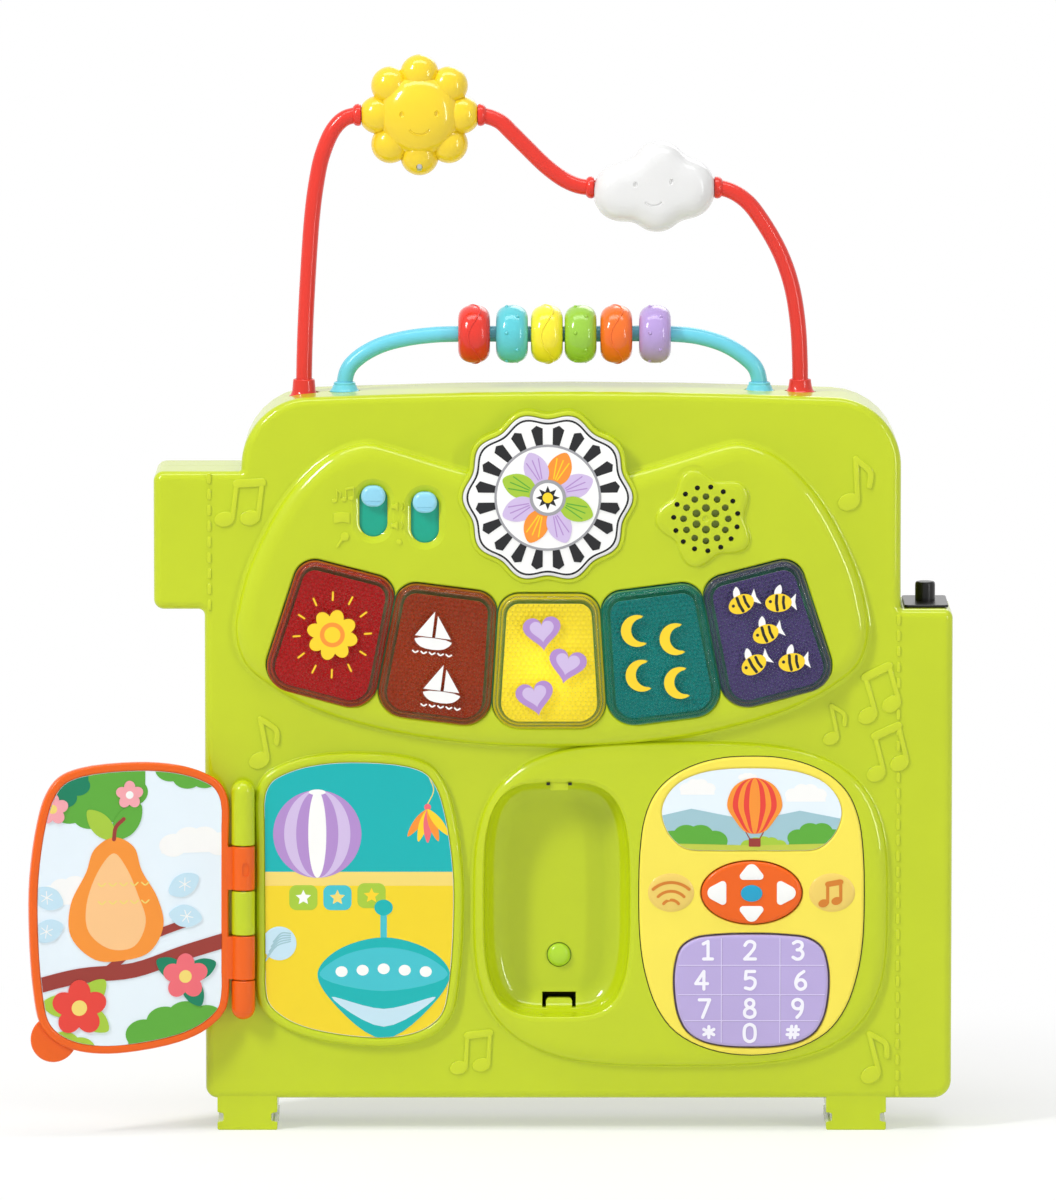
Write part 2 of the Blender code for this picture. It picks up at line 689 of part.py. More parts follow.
def joined(name, meshes, parent=None, paint=None):
    """One object from several meshes that lie clear of each other."""
    shape = bmesh.new()
    for mesh in meshes:
        shape.from_mesh(mesh)
    mesh = bpy.data.meshes.new(name)
    shape.to_mesh(mesh)
    shape.free()
    return finish_object(name, mesh, parent or FRONT, paint)


def rod_mesh(name, radius, start, end, steps=SMALL_STEPS, end_radius=None):
    """A round rod or cone from one point to another."""
    line = Vector(end) - Vector(start)
    shape = bmesh.new()
    bmesh.ops.create_cone(
        shape, cap_ends=True, segments=steps, radius1=radius,
        radius2=radius if end_radius is None else end_radius, depth=line.length)
    turn = line.to_track_quat("Z", "Y").to_matrix().to_4x4()
    middle = Matrix.Translation((Vector(start) + Vector(end)) / 2)
    bmesh.ops.transform(shape, matrix=middle @ turn, verts=shape.verts)
    mesh = bpy.data.meshes.new(name)
    shape.to_mesh(mesh)
    shape.free()
    return mesh


def rod(name, radius, start, end, steps=SMALL_STEPS, parent=None, paint=None):
    return finish_object(name, rod_mesh(name, radius, start, end, steps), parent or FRONT, paint)


def ball_mesh(name, centre, radii, across_steps=ROUND_STEPS, up_steps=SMALL_STEPS, twist=0.0):
    """A ball with its own radius along each axis; its poles lie on Z."""
    shape = bmesh.new()
    bmesh.ops.create_uvsphere(shape, u_segments=across_steps, v_segments=up_steps, radius=1)
    spin = Matrix.Rotation(twist, 4, "Z")
    bmesh.ops.transform(shape, matrix=spin, verts=shape.verts)
    bmesh.ops.scale(shape, vec=radii, verts=shape.verts)
    bmesh.ops.translate(shape, vec=centre, verts=shape.verts)
    mesh = bpy.data.meshes.new(name)
    shape.to_mesh(mesh)
    shape.free()
    return mesh


def ball(name, centre, radii, across_steps=ROUND_STEPS, up_steps=SMALL_STEPS, parent=None):
    mesh = ball_mesh(name, centre, radii, across_steps, up_steps)
    return finish_object(name, mesh, parent or FRONT)


def block_mesh(name, low, high):
    """A box between two corners."""
    shape = bmesh.new()
    bmesh.ops.create_cube(shape, size=1)
    span = Vector(high) - Vector(low)
    bmesh.ops.scale(shape, vec=span, verts=shape.verts)
    bmesh.ops.translate(shape, vec=(Vector(low) + Vector(high)) / 2, verts=shape.verts)
    mesh = bpy.data.meshes.new(name)
    shape.to_mesh(mesh)
    shape.free()
    return mesh


def block(name, low, high, parent=None, paint=None):
    return finish_object(name, block_mesh(name, low, high), parent or FRONT, paint)


def turned(name, profile, paint, steps=SMALL_STEPS, closed=False, parent=None, place=(0, 0, 0),
           turn=(0, 0, 0)):
    """A profile (radius, height), top to bottom down its outer side, turned about Z."""
    mesh = bpy.data.meshes.new(name)
    edges = [(i, i + 1) for i in range(len(profile) - 1)]
    if closed:
        edges.append((len(profile) - 1, 0))
    mesh.from_pydata([(radius, 0, height) for radius, height in profile], edges, [])
    made = finish_object(name, mesh, parent or FRONT, paint, place, turn)
    screw = made.modifiers.new("turn", "SCREW")
    screw.steps = steps
    screw.render_steps = steps
    screw.use_merge_vertices = True
    screw.merge_threshold = FACET / 10
    screw.use_smooth_shade = True
    return made


def boolean(target, tool, operation):
    step = target.modifiers.new(tool.name, "BOOLEAN")
    step.operation = operation
    step.solver = "EXACT"
    step.object = tool
    return step


def add(target, *tools):
    for tool in tools:
        boolean(target, tool, "UNION")


def cut(target, *tools):
    for tool in tools:
        boolean(target, tool, "DIFFERENCE")


# Shapes that both housings share
def foot_outline(across):
    """A clip lug seen from the front, with a notch on each side for the clip."""
    half = FOOT_WIDTH / 2
    shelf = FOOT_NOTCH_LOW + FOOT_NOTCH_HEIGHT
    right = (
        (half, 0), (half, FOOT_NOTCH_LOW), (half - FOOT_NOTCH, FOOT_NOTCH_LOW + FOOT_NOTCH_SLOPE),
        (half - FOOT_NOTCH, shelf - FOOT_NOTCH_SLOPE), (half, shelf),
        (half, FOOT_HEIGHT + FOOT_ROOT))
    left = [(-x, y) for x, y in reversed(right)]
    return [(across + x, y) for x, y in (*right, *left)]


def feet(side, low, high):
    return joined(f"{side}_feet", [
        slab_mesh("foot", foot_outline(across), low, high)
        for across in (LEFT_FOOT_ACROSS, RIGHT_FOOT_ACROSS)])


def wire_feet():
    """Where each wire enters the panel's top: across, and the height of its seat."""
    places = []
    for side, sign in enumerate((-1, 1)):
        places.append((sign * RED_FOOT_ACROSS, RED_SEATS[side]))
        places.append((sign * BLUE_FOOT_ACROSS, BLUE_SEATS[side]))
    return places


def upright_sockets(side):
    """Bosses on the parting plane that hold the wires and the peg, and the tab's socket."""
    wall = WIRE_RADIUS + WIRE_SOCKET_WALL
    meshes = [
        rod_mesh("socket", wall, (across, seat - WIRE_SOCKET_DEPTH - WALL, 0),
                 (across, seat + WIRE_CLEARANCE, 0), HOLE_STEPS)
        for across, seat in wire_feet()]
    wall = PEG_RADIUS + SOCKET_WALL
    meshes.append(rod_mesh(
        "socket", wall, (SOCKET_ACROSS, TAB_BOTTOM + FACET, 0),
        (SOCKET_ACROSS, TAB_BOTTOM + SOCKET_DEPTH + WALL, 0), HOLE_STEPS))
    meshes.append(rod_mesh(
        "socket", wall, (PEG_ACROSS, BLOCK_TOP - PEG_STEM - WALL, 0),
        (PEG_ACROSS, BLOCK_TOP - FACET, 0), HOLE_STEPS))
    return joined(f"{side}_sockets", meshes)


def upright_bores(side):
    """The holes in those bosses, and the flat seats under the ferrules."""
    hole = WIRE_RADIUS + WIRE_CLEARANCE
    meshes = []
    for across, seat in wire_feet():
        meshes.append(rod_mesh(
            "bore", hole, (across, seat - WIRE_SOCKET_DEPTH, 0), (across, seat + OVERRUN, 0)))
    hole = PEG_RADIUS + SOCKET_CLEARANCE
    meshes.append(rod_mesh(
        "bore", hole, (SOCKET_ACROSS, TAB_BOTTOM - OVERRUN, 0),
        (SOCKET_ACROSS, TAB_BOTTOM + SOCKET_DEPTH, 0)))
    meshes.append(rod_mesh(
        "bore", hole, (PEG_ACROSS, BLOCK_TOP - PEG_STEM, 0),
        (PEG_ACROSS, BLOCK_TOP + OVERRUN, 0)))
    return joined(f"{side}_bores", meshes)


def ferrule_seats(side):
    seat_radius = FERRULE_BASE_RADIUS + WIRE_CLEARANCE
    return joined(f"{side}_ferrule_seats", [
        rod_mesh("seat", seat_radius, (across, seat, 0), (across, seat + OVERRUN, 0))
        for across, seat in wire_feet()])


def key_place(index):
    """The middle of a key and its turn, on an arc whose middle lies above the panel."""
    angle = (index - (KEY_COUNT - 1) / 2) * KEY_PITCH
    across = KEY_ARC_ACROSS + KEY_ARC_RADIUS * math.sin(angle)
    up = KEY_ARC_UP - KEY_ARC_RADIUS * math.cos(angle)
    return across, up, angle


def arc_point(radius, angle):
    across = KEY_ARC_ACROSS + radius * math.sin(angle)
    up = KEY_ARC_UP - radius * math.cos(angle)
    return across, up


def placed(outline, across, up, angle):
    turn = Matrix.Rotation(angle, 2)
    return [tuple(turn @ Vector(point) + Vector((across, up))) for point in outline]


# The front housing
def front_housing(paint):
    shell = slab(
        "front_housing", panel_outline(), -OVERRUN, FRONT_DEPTH, front=EDGE_RADIUS, paint=paint)
    key_island = slab(
        "key_island", key_island_outline(), ROOF, KEY_ISLAND_FRONT, front=KEY_ISLAND_EDGE)
    phone_island = slab(
        "phone_island", superellipse(
            PHONE_ACROSS, PHONE_UP, PHONE_HALF_WIDTH, PHONE_HALF_HEIGHT, PHONE_POWER, 40),
        ROOF, PHONE_FRONT, front=PHONE_EDGE)
    bezel = slab(
        "bezel", side_shape(BEZEL_LEFT, BEZEL_BOTTOM, BEZEL_WIDTH, BEZEL_HEIGHT),
        ROOF, BEZEL_FRONT, front=BEZEL_EDGE, steps=1)
    badge_boss = slab("badge_boss", badge_outline(-BADGE_RIM), ROOF, BADGE_FRONT)
    star = slab("star_boss", star_outline(), KEY_ROOF, STAR_FRONT, front=STAR_RISE, steps=1)
    lugs = feet("front", -2 * OVERRUN, FRONT_DEPTH - FOOT_INSET)
    add(shell, key_island, phone_island, bezel, badge_boss, star, lugs, fixed_knuckles())

    cavity = slab("body_cavity", panel_outline(WALL), -3 * OVERRUN, ROOF)
    key_cavity = slab("key_cavity", key_island_outline(KEY_ISLAND_WALL), OVERRUN, KEY_ROOF)
    phone_cavity = slab(
        "phone_cavity", superellipse(
            PHONE_ACROSS, PHONE_UP, PHONE_HALF_WIDTH, PHONE_HALF_HEIGHT, PHONE_POWER, 40, WALL),
        OVERRUN, PHONE_ROOF)
    cut(shell, cavity, key_cavity, phone_cavity)

    pan = slab(
        "cradle_pan", cradle_outline(-WALL), CRADLE_FLOOR - WALL, PHONE_ROOF + FACET,
        back=CRADLE_FLOOR_RADIUS)
    seat = slab(
        "fascia_seat", fascia_outline(-WALL), FASCIA_SEAT - WALL, PHONE_ROOF + FACET)
    add(shell, pan, seat, upright_sockets("front"), front_bosses(), speaker_ring())

    bowl = slab(
        "cradle_bowl", cradle_outline(), CRADLE_FLOOR, PHONE_FRONT + OVERRUN,
        back=CRADLE_FLOOR_RADIUS - WALL)
    pocket = slab(
        "fascia_pocket", fascia_outline(-SEAT_GAP), FASCIA_SEAT, PHONE_FRONT + OVERRUN)
    recesses = joined("recesses", [
        slab_mesh("badge_recess", badge_outline(-SEAT_GAP), BADGE_SEAT, STAR_FRONT + OVERRUN),
        slab_mesh(
            "card_recess", left_card_outline(-SEAT_GAP), BEZEL_FRONT - WINDOW_DEPTH,
            BEZEL_FRONT + OVERRUN),
        *[slab_mesh(
            "slot", slot_outline(*place, SWITCH_SLOT_WIDTH, SWITCH_SLOT_HEIGHT),
            KEY_ROOF - OVERRUN, KEY_ISLAND_FRONT + OVERRUN) for place in SWITCH_PLACES]])
    pads = joined("pad_openings", [
        slab_mesh(
            "keypad_opening", keypad_outline(-PAD_FLANGE - PAD_CLEARANCE), OVERRUN, FASCIA_BACK),
        slab_mesh(
            "pad_opening", pad_outline(-PAD_FLANGE - PAD_CLEARANCE), OVERRUN, FASCIA_BACK)])
    cut(shell, bowl, pocket, recesses, pads, cradle_holes(), grille_holes())
    for index in range(KEY_COUNT):
        opening = placed(key_outline(-KEY_CLEARANCE), *key_place(index))
        cut(shell, slab(f"key_opening_{index + 1}", opening, OVERRUN, KEY_FRONT + OVERRUN))
    cut(shell, upright_bores("front"), ferrule_seats("front"), front_pilots())
    half = TAB_WIDTH + UPPER_WIDTH
    cut(shell, block(
        "front_parting", (-half, -OVERRUN, -half), (half, PANEL_TOP + OVERRUN, 0)))
    return shell


def fixed_knuckles():
    """The two green hinge knuckles, each on a web, with a dome on the upper one."""
    width = 2 * HINGE_RADIUS - KNUCKLE_GAP
    webs = joined("knuckle_webs", [
        slab_mesh(
            "knuckle_web", box_outline(
                HINGE_ACROSS, (low + high) / 2, width, high - low - KNUCKLE_GAP, KNUCKLE_GAP),
            ROOF, HINGE_OUT + KNUCKLE_GAP)
        for low, high in fixed_knuckle_spans()])
    upper, lower = fixed_knuckle_spans()
    top = barrel_with_dome("knuckle_top", HINGE_RADIUS + FACET, upper[1] - upper[0], 0)
    top.location = (HINGE_ACROSS, upper[0], HINGE_OUT)
    bottom = rod(
        "knuckle_bottom", HINGE_RADIUS + FACET, (HINGE_ACROSS, lower[0], HINGE_OUT),
        (HINGE_ACROSS, lower[1], HINGE_OUT), BARREL_STEPS)
    bore = rod(
        "knuckle_bore", HINGE_BORE, (HINGE_ACROSS, lower[0] - OVERRUN, HINGE_OUT),
        (HINGE_ACROSS, upper[1], HINGE_OUT))
    add(webs, top, bottom)
    cut(webs, bore)
    return webs


def barrel_with_dome(name, radius, length, bore_depth, paint=None, down=False):
    """A barrel along Y from zero to its length with a dome beyond; its blind bore starts at zero."""
    profile = []
    for k in range(DOME_STEPS):
        angle = math.pi / 2 * k / DOME_STEPS
        profile.append((radius * math.sin(angle), length + radius * math.cos(angle)))
    profile += [(radius, length), (radius, 0)]
    if bore_depth > 0:
        profile += [(HINGE_BORE, 0), (HINGE_BORE, bore_depth), (0, bore_depth)]
    else:
        profile.append((0, 0))
    turn = math.pi / 2 if down else -math.pi / 2
    return turned(name, profile, paint, BARREL_STEPS, turn=(turn, 0, 0))


def fixed_knuckle_spans():
    """The lower and upper end of each green knuckle, the upper one first."""
    top_low = TOP_KNUCKLE_TOP - TOP_KNUCKLE_LENGTH
    low_high = top_low - KNUCKLE_LENGTH - 2 * KNUCKLE_GAP
    return (
        (top_low, TOP_KNUCKLE_TOP - HINGE_RADIUS), (low_high - KNUCKLE_LENGTH, low_high))


def door_knuckle_spans():
    """The lower and upper end of each orange knuckle of the door, the upper one first."""
    fixed = fixed_knuckle_spans()
    return (
        (fixed[1][1] + KNUCKLE_GAP, fixed[0][0] - KNUCKLE_GAP),
        (fixed[1][0] - KNUCKLE_GAP - KNUCKLE_LENGTH, fixed[1][0] - KNUCKLE_GAP))


def front_bosses():
    """Screw bosses on the front wall, and the posts that the two boards sit on."""
    meshes = [
        rod_mesh(
            "boss", BOSS_RADIUS, (across, up, -OVERRUN), (across, up, ROOF + FACET), HOLE_STEPS)
        for across, up in SCREW_PLACES]
    for across, up in key_board_posts():
        meshes.append(rod_mesh(
            "post", POST_RADIUS, (across, up, KEY_BOARD_FRONT + SEAT_GAP),
            (across, up, KEY_ROOF + FACET), HOLE_STEPS))
    for across, up in main_board_posts():
        meshes.append(rod_mesh(
            "post", POST_RADIUS, (across, up, MAIN_BOARD_FRONT + SEAT_GAP),
            (across, up, FASCIA_SEAT - WALL + FACET), HOLE_STEPS))
    return joined("front_bosses", meshes)


def front_pilots():
    """Blind screw holes in the front bosses."""
    deep = SCREW_LENGTH + SCREW_SINK - REAR_DEPTH + WALL
    return joined("front_pilots", [
        rod_mesh("pilot", SCREW_SHANK + SCREW_CLEARANCE, (across, up, -OVERRUN - OVERRUN),
                 (across, up, deep), HOLE_STEPS)
        for across, up in SCREW_PLACES])


def key_board_posts():
    """Posts in the corners between neighbouring keys, four below them and two above."""
    places = [
        arc_point(KEY_POST_ORBIT, (gap + 1 - KEY_COUNT / 2) * KEY_PITCH)
        for gap in range(KEY_COUNT - 1)]
    places += [arc_point(KEY_UPPER_POST_ORBIT, sign * KEY_PITCH / 2) for sign in (-1, 1)]
    return places


def main_board_posts():
    places = []
    for sign in (-1, 1):
        places.append((FASCIA_ACROSS + sign * MAIN_POST_ACROSS, MAIN_POST_UP))
        places.append((FASCIA_ACROSS + sign * MAIN_POST_UPPER_ACROSS, MAIN_POST_UPPER_UP))
    return places


def speaker_ring():
    """The round wall behind the grille that holds the speaker."""
    inner = SPEAKER_RADIUS + SEAT_GAP
    outer = inner + SPEAKER_RING_WALL
    ring = rod(
        "speaker_ring", outer, (SPEAKER_ACROSS, SPEAKER_UP, KEY_ROOF - SPEAKER_RING_DEPTH),
        (SPEAKER_ACROSS, SPEAKER_UP, KEY_ROOF + FACET), ROUND_STEPS)
    hole = rod(
        "speaker_ring_hole", inner, (SPEAKER_ACROSS, SPEAKER_UP, 0),
        (SPEAKER_ACROSS, SPEAKER_UP, KEY_ISLAND_FRONT), ROUND_STEPS)
    cut(ring, hole)
    return ring


def grille_holes():
    meshes = []
    for count, orbit, radius, turn in GRILLE_RINGS:
        for k in range(count):
            angle = math.radians(turn) + 2 * math.pi * k / count
            across = SPEAKER_ACROSS + orbit * math.cos(angle)
            up = SPEAKER_UP + orbit * math.sin(angle)
            meshes.append(rod_mesh(
                "hole", radius, (across, up, KEY_ROOF - OVERRUN), (across, up, STAR_FRONT + OVERRUN),
                GRILLE_STEPS))
    return joined("grille_holes", meshes)


def cradle_holes():
    """The hook button's hole and the catch's three-sided slot in the cradle."""
    button = rod_mesh(
        "hook_hole", HOOK_RADIUS + PAD_CLEARANCE, (HOOK_ACROSS, HOOK_UP, 0),
        (HOOK_ACROSS, HOOK_UP, PHONE_FRONT), ROUND_STEPS)
    half = CRADLE_CATCH_WIDTH / 2
    low = CRADLE_CATCH_UP - CRADLE_CATCH_HEIGHT / 2
    high = CRADLE_CATCH_UP + CRADLE_CATCH_HEIGHT / 2
    inner = half - CRADLE_CATCH_GAP
    outline = [
        (-half, low), (-inner, low), (-inner, high - CRADLE_CATCH_GAP),
        (inner, high - CRADLE_CATCH_GAP), (inner, low), (half, low), (half, high), (-half, high)]
    catch = slab_mesh(
        "catch_slot", [(HOOK_ACROSS + x, y) for x, y in outline], 0, PHONE_FRONT)
    return joined("cradle_holes", [button, catch])


# Outlines of the inserts
def cradle_outline(inset=0.0):
    return superellipse(
        CRADLE_ACROSS, CRADLE_UP, CRADLE_HALF_WIDTH, CRADLE_HALF_HEIGHT, CRADLE_POWER, 32, inset)


def fascia_outline(inset=0.0):
    return upright_shape(
        FASCIA_SHARES, FASCIA_ACROSS, FASCIA_TOP, FASCIA_HALF_WIDTH, FASCIA_HEIGHT, inset)


def window_outline(inset=0.0):
    return upright_shape(
        WINDOW_SHARES, FASCIA_ACROSS, WINDOW_TOP, WINDOW_HALF_WIDTH, WINDOW_HEIGHT, inset, 1)


def keypad_outline(inset=0.0):
    return upright_shape(
        KEYPAD_SHARES, FASCIA_ACROSS, KEYPAD_TOP, KEYPAD_HALF_WIDTH, KEYPAD_HEIGHT, inset, 1)


def pad_outline(inset=0.0):
    return superellipse(
        FASCIA_ACROSS, PAD_UP, PAD_HALF_WIDTH, PAD_HALF_HEIGHT, 2, ROUND_STEPS, inset)


def left_card_outline(inset=0.0):
    return side_shape(BEZEL_LEFT, BEZEL_BOTTOM, BEZEL_WIDTH, BEZEL_HEIGHT, BEZEL_BORDER + inset)


def badge_outline(inset=0.0):
    return waved(
        BADGE_ACROSS, BADGE_UP, BADGE_RADIUS, BADGE_SCALLOP, BADGE_LOBES, 0, 50, inset)


def star_outline(inset=0.0):
    return waved(
        SPEAKER_ACROSS, SPEAKER_UP, STAR_RADIUS, STAR_WAVE, STAR_ARMS, STAR_TURN, 35, inset)


# The rear housing
def rear_housing(paint):
    shell = slab(
        "rear_housing", panel_outline(), -REAR_DEPTH, OVERRUN, back=EDGE_RADIUS, paint=paint)
    add(shell, feet("rear", -REAR_DEPTH + EDGE_RADIUS, 2 * OVERRUN))
    cavity = slab("rear_cavity", panel_outline(WALL), -REAR_DEPTH + WALL, 3 * OVERRUN)
    cut(shell, cavity)
    top = battery_top()
    bottom = BATTERY_UP - POCKET_HEIGHT / 2 - WALL
    half = POCKET_WIDTH / 2 + BATTERY_DOOR_LAP
    box = block(
        "battery_box", (BATTERY_ACROSS - half, bottom - BATTERY_DOOR_LAP, -REAR_DEPTH + FACET),
        (BATTERY_ACROSS + half, top, BATTERY_ROOF + WALL))
    tubes = joined("rear_tubes", [
        rod_mesh(
            "tube", BOSS_RADIUS, (across, up, -REAR_DEPTH + FACET), (across, up, OVERRUN),
            HOLE_STEPS)
        for across, up in SCREW_PLACES])
    add(shell, box, tubes, upright_sockets("rear"))
    pocket = block(
        "battery_pocket",
        (BATTERY_ACROSS - POCKET_WIDTH / 2, BATTERY_UP - POCKET_HEIGHT / 2,
         -REAR_DEPTH - OVERRUN),
        (BATTERY_ACROSS + POCKET_WIDTH / 2, BATTERY_UP + POCKET_HEIGHT / 2, BATTERY_ROOF))
    door_recess = slab(
        "battery_door_recess", battery_door_outline(-SEAT_GAP), -REAR_DEPTH - OVERRUN,
        BATTERY_DOOR_SEAT + SEAT_GAP)
    sinks = joined("screw_sinks", [
        rod_mesh(
            "sink", SCREW_HEAD + 2 * SCREW_CLEARANCE, (across, up, -REAR_DEPTH - OVERRUN),
            (across, up, -REAR_DEPTH + SCREW_SINK), HOLE_STEPS)
        for across, up in SCREW_PLACES])
    shanks = joined("screw_bores", [
        rod_mesh("bore", SCREW_SHANK + SCREW_CLEARANCE, (across, up, -REAR_DEPTH - OVERRUN),
                 (across, up, 2 * OVERRUN), HOLE_STEPS)
        for across, up in SCREW_PLACES])
    across, up = battery_screw_place()
    pilot = rod(
        "battery_pilot", SCREW_SHANK + SCREW_CLEARANCE, (across, up, -REAR_DEPTH - OVERRUN),
        (across, up, BATTERY_DOOR_BACK + BATTERY_SCREW_LENGTH + WALL), HOLE_STEPS)
    half = TAB_WIDTH + UPPER_WIDTH
    parting = block(
        "rear_parting", (-half, -OVERRUN, -SEAT_GAP), (half, PANEL_TOP + OVERRUN, half))
    cut(shell, pocket, door_recess, sinks, shanks, pilot, upright_bores("rear"),
        ferrule_seats("rear"), parting)
    return shell


def battery_top():
    return BATTERY_UP + POCKET_HEIGHT / 2 + BATTERY_DOOR_TONGUE + BATTERY_DOOR_LAP


def battery_door_outline(inset=0.0):
    low = BATTERY_UP - POCKET_HEIGHT / 2 - BATTERY_DOOR_LAP / 2
    high = BATTERY_UP + POCKET_HEIGHT / 2 + BATTERY_DOOR_TONGUE
    width = POCKET_WIDTH + BATTERY_DOOR_LAP
    return box_outline(
        BATTERY_ACROSS, (low + high) / 2, width, high - low, BATTERY_DOOR_RADIUS, inset)


def battery_screw_place():
    return BATTERY_ACROSS, BATTERY_UP + POCKET_HEIGHT / 2 + BATTERY_DOOR_TONGUE / 2


# Screws, batteries and boards
def screw(name, place, head_back, length, paint, parent=None, turn=(0, 0, 0)):
    """A pan-head screw whose head looks to -Z and whose shank runs to +Z."""
    tip = length - SCREW_SHANK
    profile = (
        (0, length), (SCREW_SHANK, tip), (SCREW_SHANK, SCREW_HEAD_HEIGHT),
        (SCREW_HEAD, SCREW_HEAD_HEIGHT), (SCREW_HEAD, SCREW_HEAD_HEIGHT / 2), (0, 0))
    return turned(
        name, profile, paint, HOLE_STEPS, parent=parent, place=(*place, head_back), turn=turn)


def housing_screws(paint):
    head_back = -REAR_DEPTH + SCREW_SINK - SCREW_HEAD_HEIGHT - SCREW_CLEARANCE
    for index, place in enumerate(SCREW_PLACES):
        screw(f"housing_screw_{index + 1}", place, head_back, SCREW_LENGTH, paint)


def batteries(paint):
    for index in range(BATTERY_COUNT):
        up = BATTERY_UP + (index - (BATTERY_COUNT - 1) / 2) * BATTERY_PITCH
        sign = 1 if index % 2 == 0 else -1
        half = BATTERY_LENGTH / 2
        chamfer = BATTERY_NUB
        profile = (
            (0, half + BATTERY_NUB / 2), (BATTERY_NUB_RADIUS, half + BATTERY_NUB / 2),
            (BATTERY_NUB_RADIUS, half - BATTERY_NUB / 2),
            (BATTERY_RADIUS - chamfer, half - BATTERY_NUB / 2),
            (BATTERY_RADIUS, half - BATTERY_NUB / 2 - chamfer),
            (BATTERY_RADIUS, -half - BATTERY_NUB / 2 + chamfer),
            (BATTERY_RADIUS - chamfer, -half - BATTERY_NUB / 2), (0, -half - BATTERY_NUB / 2))
        turned(
            f"battery_{index + 1}", profile, paint, SMALL_STEPS, place=(BATTERY_ACROSS, up, BATTERY_OUT),
            turn=(0, sign * math.pi / 2, 0))


def battery_door(paint, steel):
    door = slab(
        "battery_door", battery_door_outline(), BATTERY_DOOR_BACK, BATTERY_DOOR_SEAT, paint=paint)
    across, up = battery_screw_place()
    hole = rod(
        "battery_door_hole", SCREW_SHANK + SCREW_CLEARANCE, (across, up, -REAR_DEPTH - OVERRUN),
        (across, up, 0), HOLE_STEPS)
    cut(door, hole)
    head_back = BATTERY_DOOR_BACK - SCREW_HEAD_HEIGHT - SCREW_CLEARANCE
    screw("battery_door_screw", (across, up), head_back, BATTERY_SCREW_LENGTH, steel)


def boards(paint):
    low = MAIN_BOARD_FRONT - BOARD_THICKNESS
    middle = MAIN_BOARD_BOTTOM + MAIN_BOARD_HEIGHT / 2
    slab(
        "main_circuit_board", box_outline(
            FASCIA_ACROSS, middle, MAIN_BOARD_WIDTH, MAIN_BOARD_HEIGHT, POST_RADIUS),
        low, MAIN_BOARD_FRONT, paint=paint)
    reach = KEY_PITCH * KEY_COUNT / 2 + KEY_BOARD_MARGIN
    steps = 2 * KEY_COUNT
    outer = [
        arc_point(KEY_BOARD_OUTER, reach * (2 * k / steps - 1)) for k in range(steps + 1)]
    inner = [
        arc_point(KEY_BOARD_INNER, reach * (2 * k / steps - 1)) for k in range(steps + 1)]
    slab(
        "key_contact_board", outer + inner[::-1], KEY_BOARD_FRONT - BOARD_THICKNESS,
        KEY_BOARD_FRONT, paint=paint)


def speaker(paint, lime):
    front = KEY_ROOF - SEAT_GAP
    place = (SPEAKER_ACROSS, SPEAKER_UP, 0)
    rod("speaker_baffle", SPEAKER_RADIUS, (*place[:2], front - BAFFLE_THICKNESS),
        (*place[:2], front), ROUND_STEPS, paint=lime)
    top = front - BAFFLE_THICKNESS - SEAT_GAP
    rim = top - SPEAKER_RIM_THICKNESS
    back = rim - SPEAKER_CONE_DEPTH
    profile = (
        (0, top - SPEAKER_RIM_THICKNESS), (SPEAKER_RADIUS - SPEAKER_RIM_THICKNESS, top),
        (SPEAKER_RADIUS, top), (SPEAKER_RADIUS, rim), (MAGNET_RADIUS, back),
        (MAGNET_RADIUS, back - MAGNET_DEPTH), (0, back - MAGNET_DEPTH))
    turned("speaker", profile, paint, BARREL_STEPS, place=place)


# The front inserts
def fascia(paint, card_paint):
    plate = slab(
        "phone_fascia", fascia_outline(), FASCIA_BACK, FASCIA_FRONT, front=FASCIA_EDGE, steps=1,
        paint=paint)
    for sign in (-1, 1):
        dome = slab(
            f"icon_dome_{'left' if sign < 0 else 'right'}", superellipse(
                FASCIA_ACROSS + sign * ICON_OFFSET, PAD_UP, ICON_HALF_WIDTH, ICON_HALF_HEIGHT,
                2, ROUND_STEPS),
            FASCIA_BACK + FACET, FASCIA_FRONT + ICON_RISE, front=ICON_RISE, steps=1)
        add(plate, dome)
    window = slab(
        "window_recess", window_outline(-SEAT_GAP), FASCIA_FRONT - WINDOW_DEPTH,
        FASCIA_FRONT + OVERRUN)
    openings = joined("fascia_openings", [
        slab_mesh("keypad_hole", keypad_outline(-PAD_CLEARANCE), 0, FASCIA_FRONT + OVERRUN),
        slab_mesh("pad_hole", pad_outline(-PAD_CLEARANCE), 0, FASCIA_FRONT + OVERRUN)])
    cut(plate, window, openings)
    floor = FASCIA_FRONT - WINDOW_DEPTH + SEAT_GAP
    slab("phone_picture_card", window_outline(), floor, floor + CARD_THICKNESS, paint=card_paint)


def pads(keypad_paint, pad_paint):
    """The keypad and the direction pad: a face, a flange under the fascia, and a foot."""
    flange_back = PAD_FLANGE_FRONT - PAD_FLANGE_THICKNESS
    for name, outline, paint in (
            ("keypad", keypad_outline, keypad_paint), ("direction_pad", pad_outline, pad_paint)):
        face = slab(
            name, outline(), PAD_BACK, PAD_FRONT, front=PAD_EDGE, steps=1, paint=paint)
        flange = slab(f"{name}_flange", outline(-PAD_FLANGE), flange_back, PAD_FLANGE_FRONT)
        add(face, flange)


def left_card(paint):
    floor = BEZEL_FRONT - WINDOW_DEPTH + SEAT_GAP
    slab("left_picture_card", left_card_outline(), floor, floor + CARD_THICKNESS, paint=paint)


def badge(paint):
    floor = BADGE_SEAT + SEAT_GAP
    slab("badge_plate", badge_outline(), floor, floor + BADGE_THICKNESS, paint=paint)


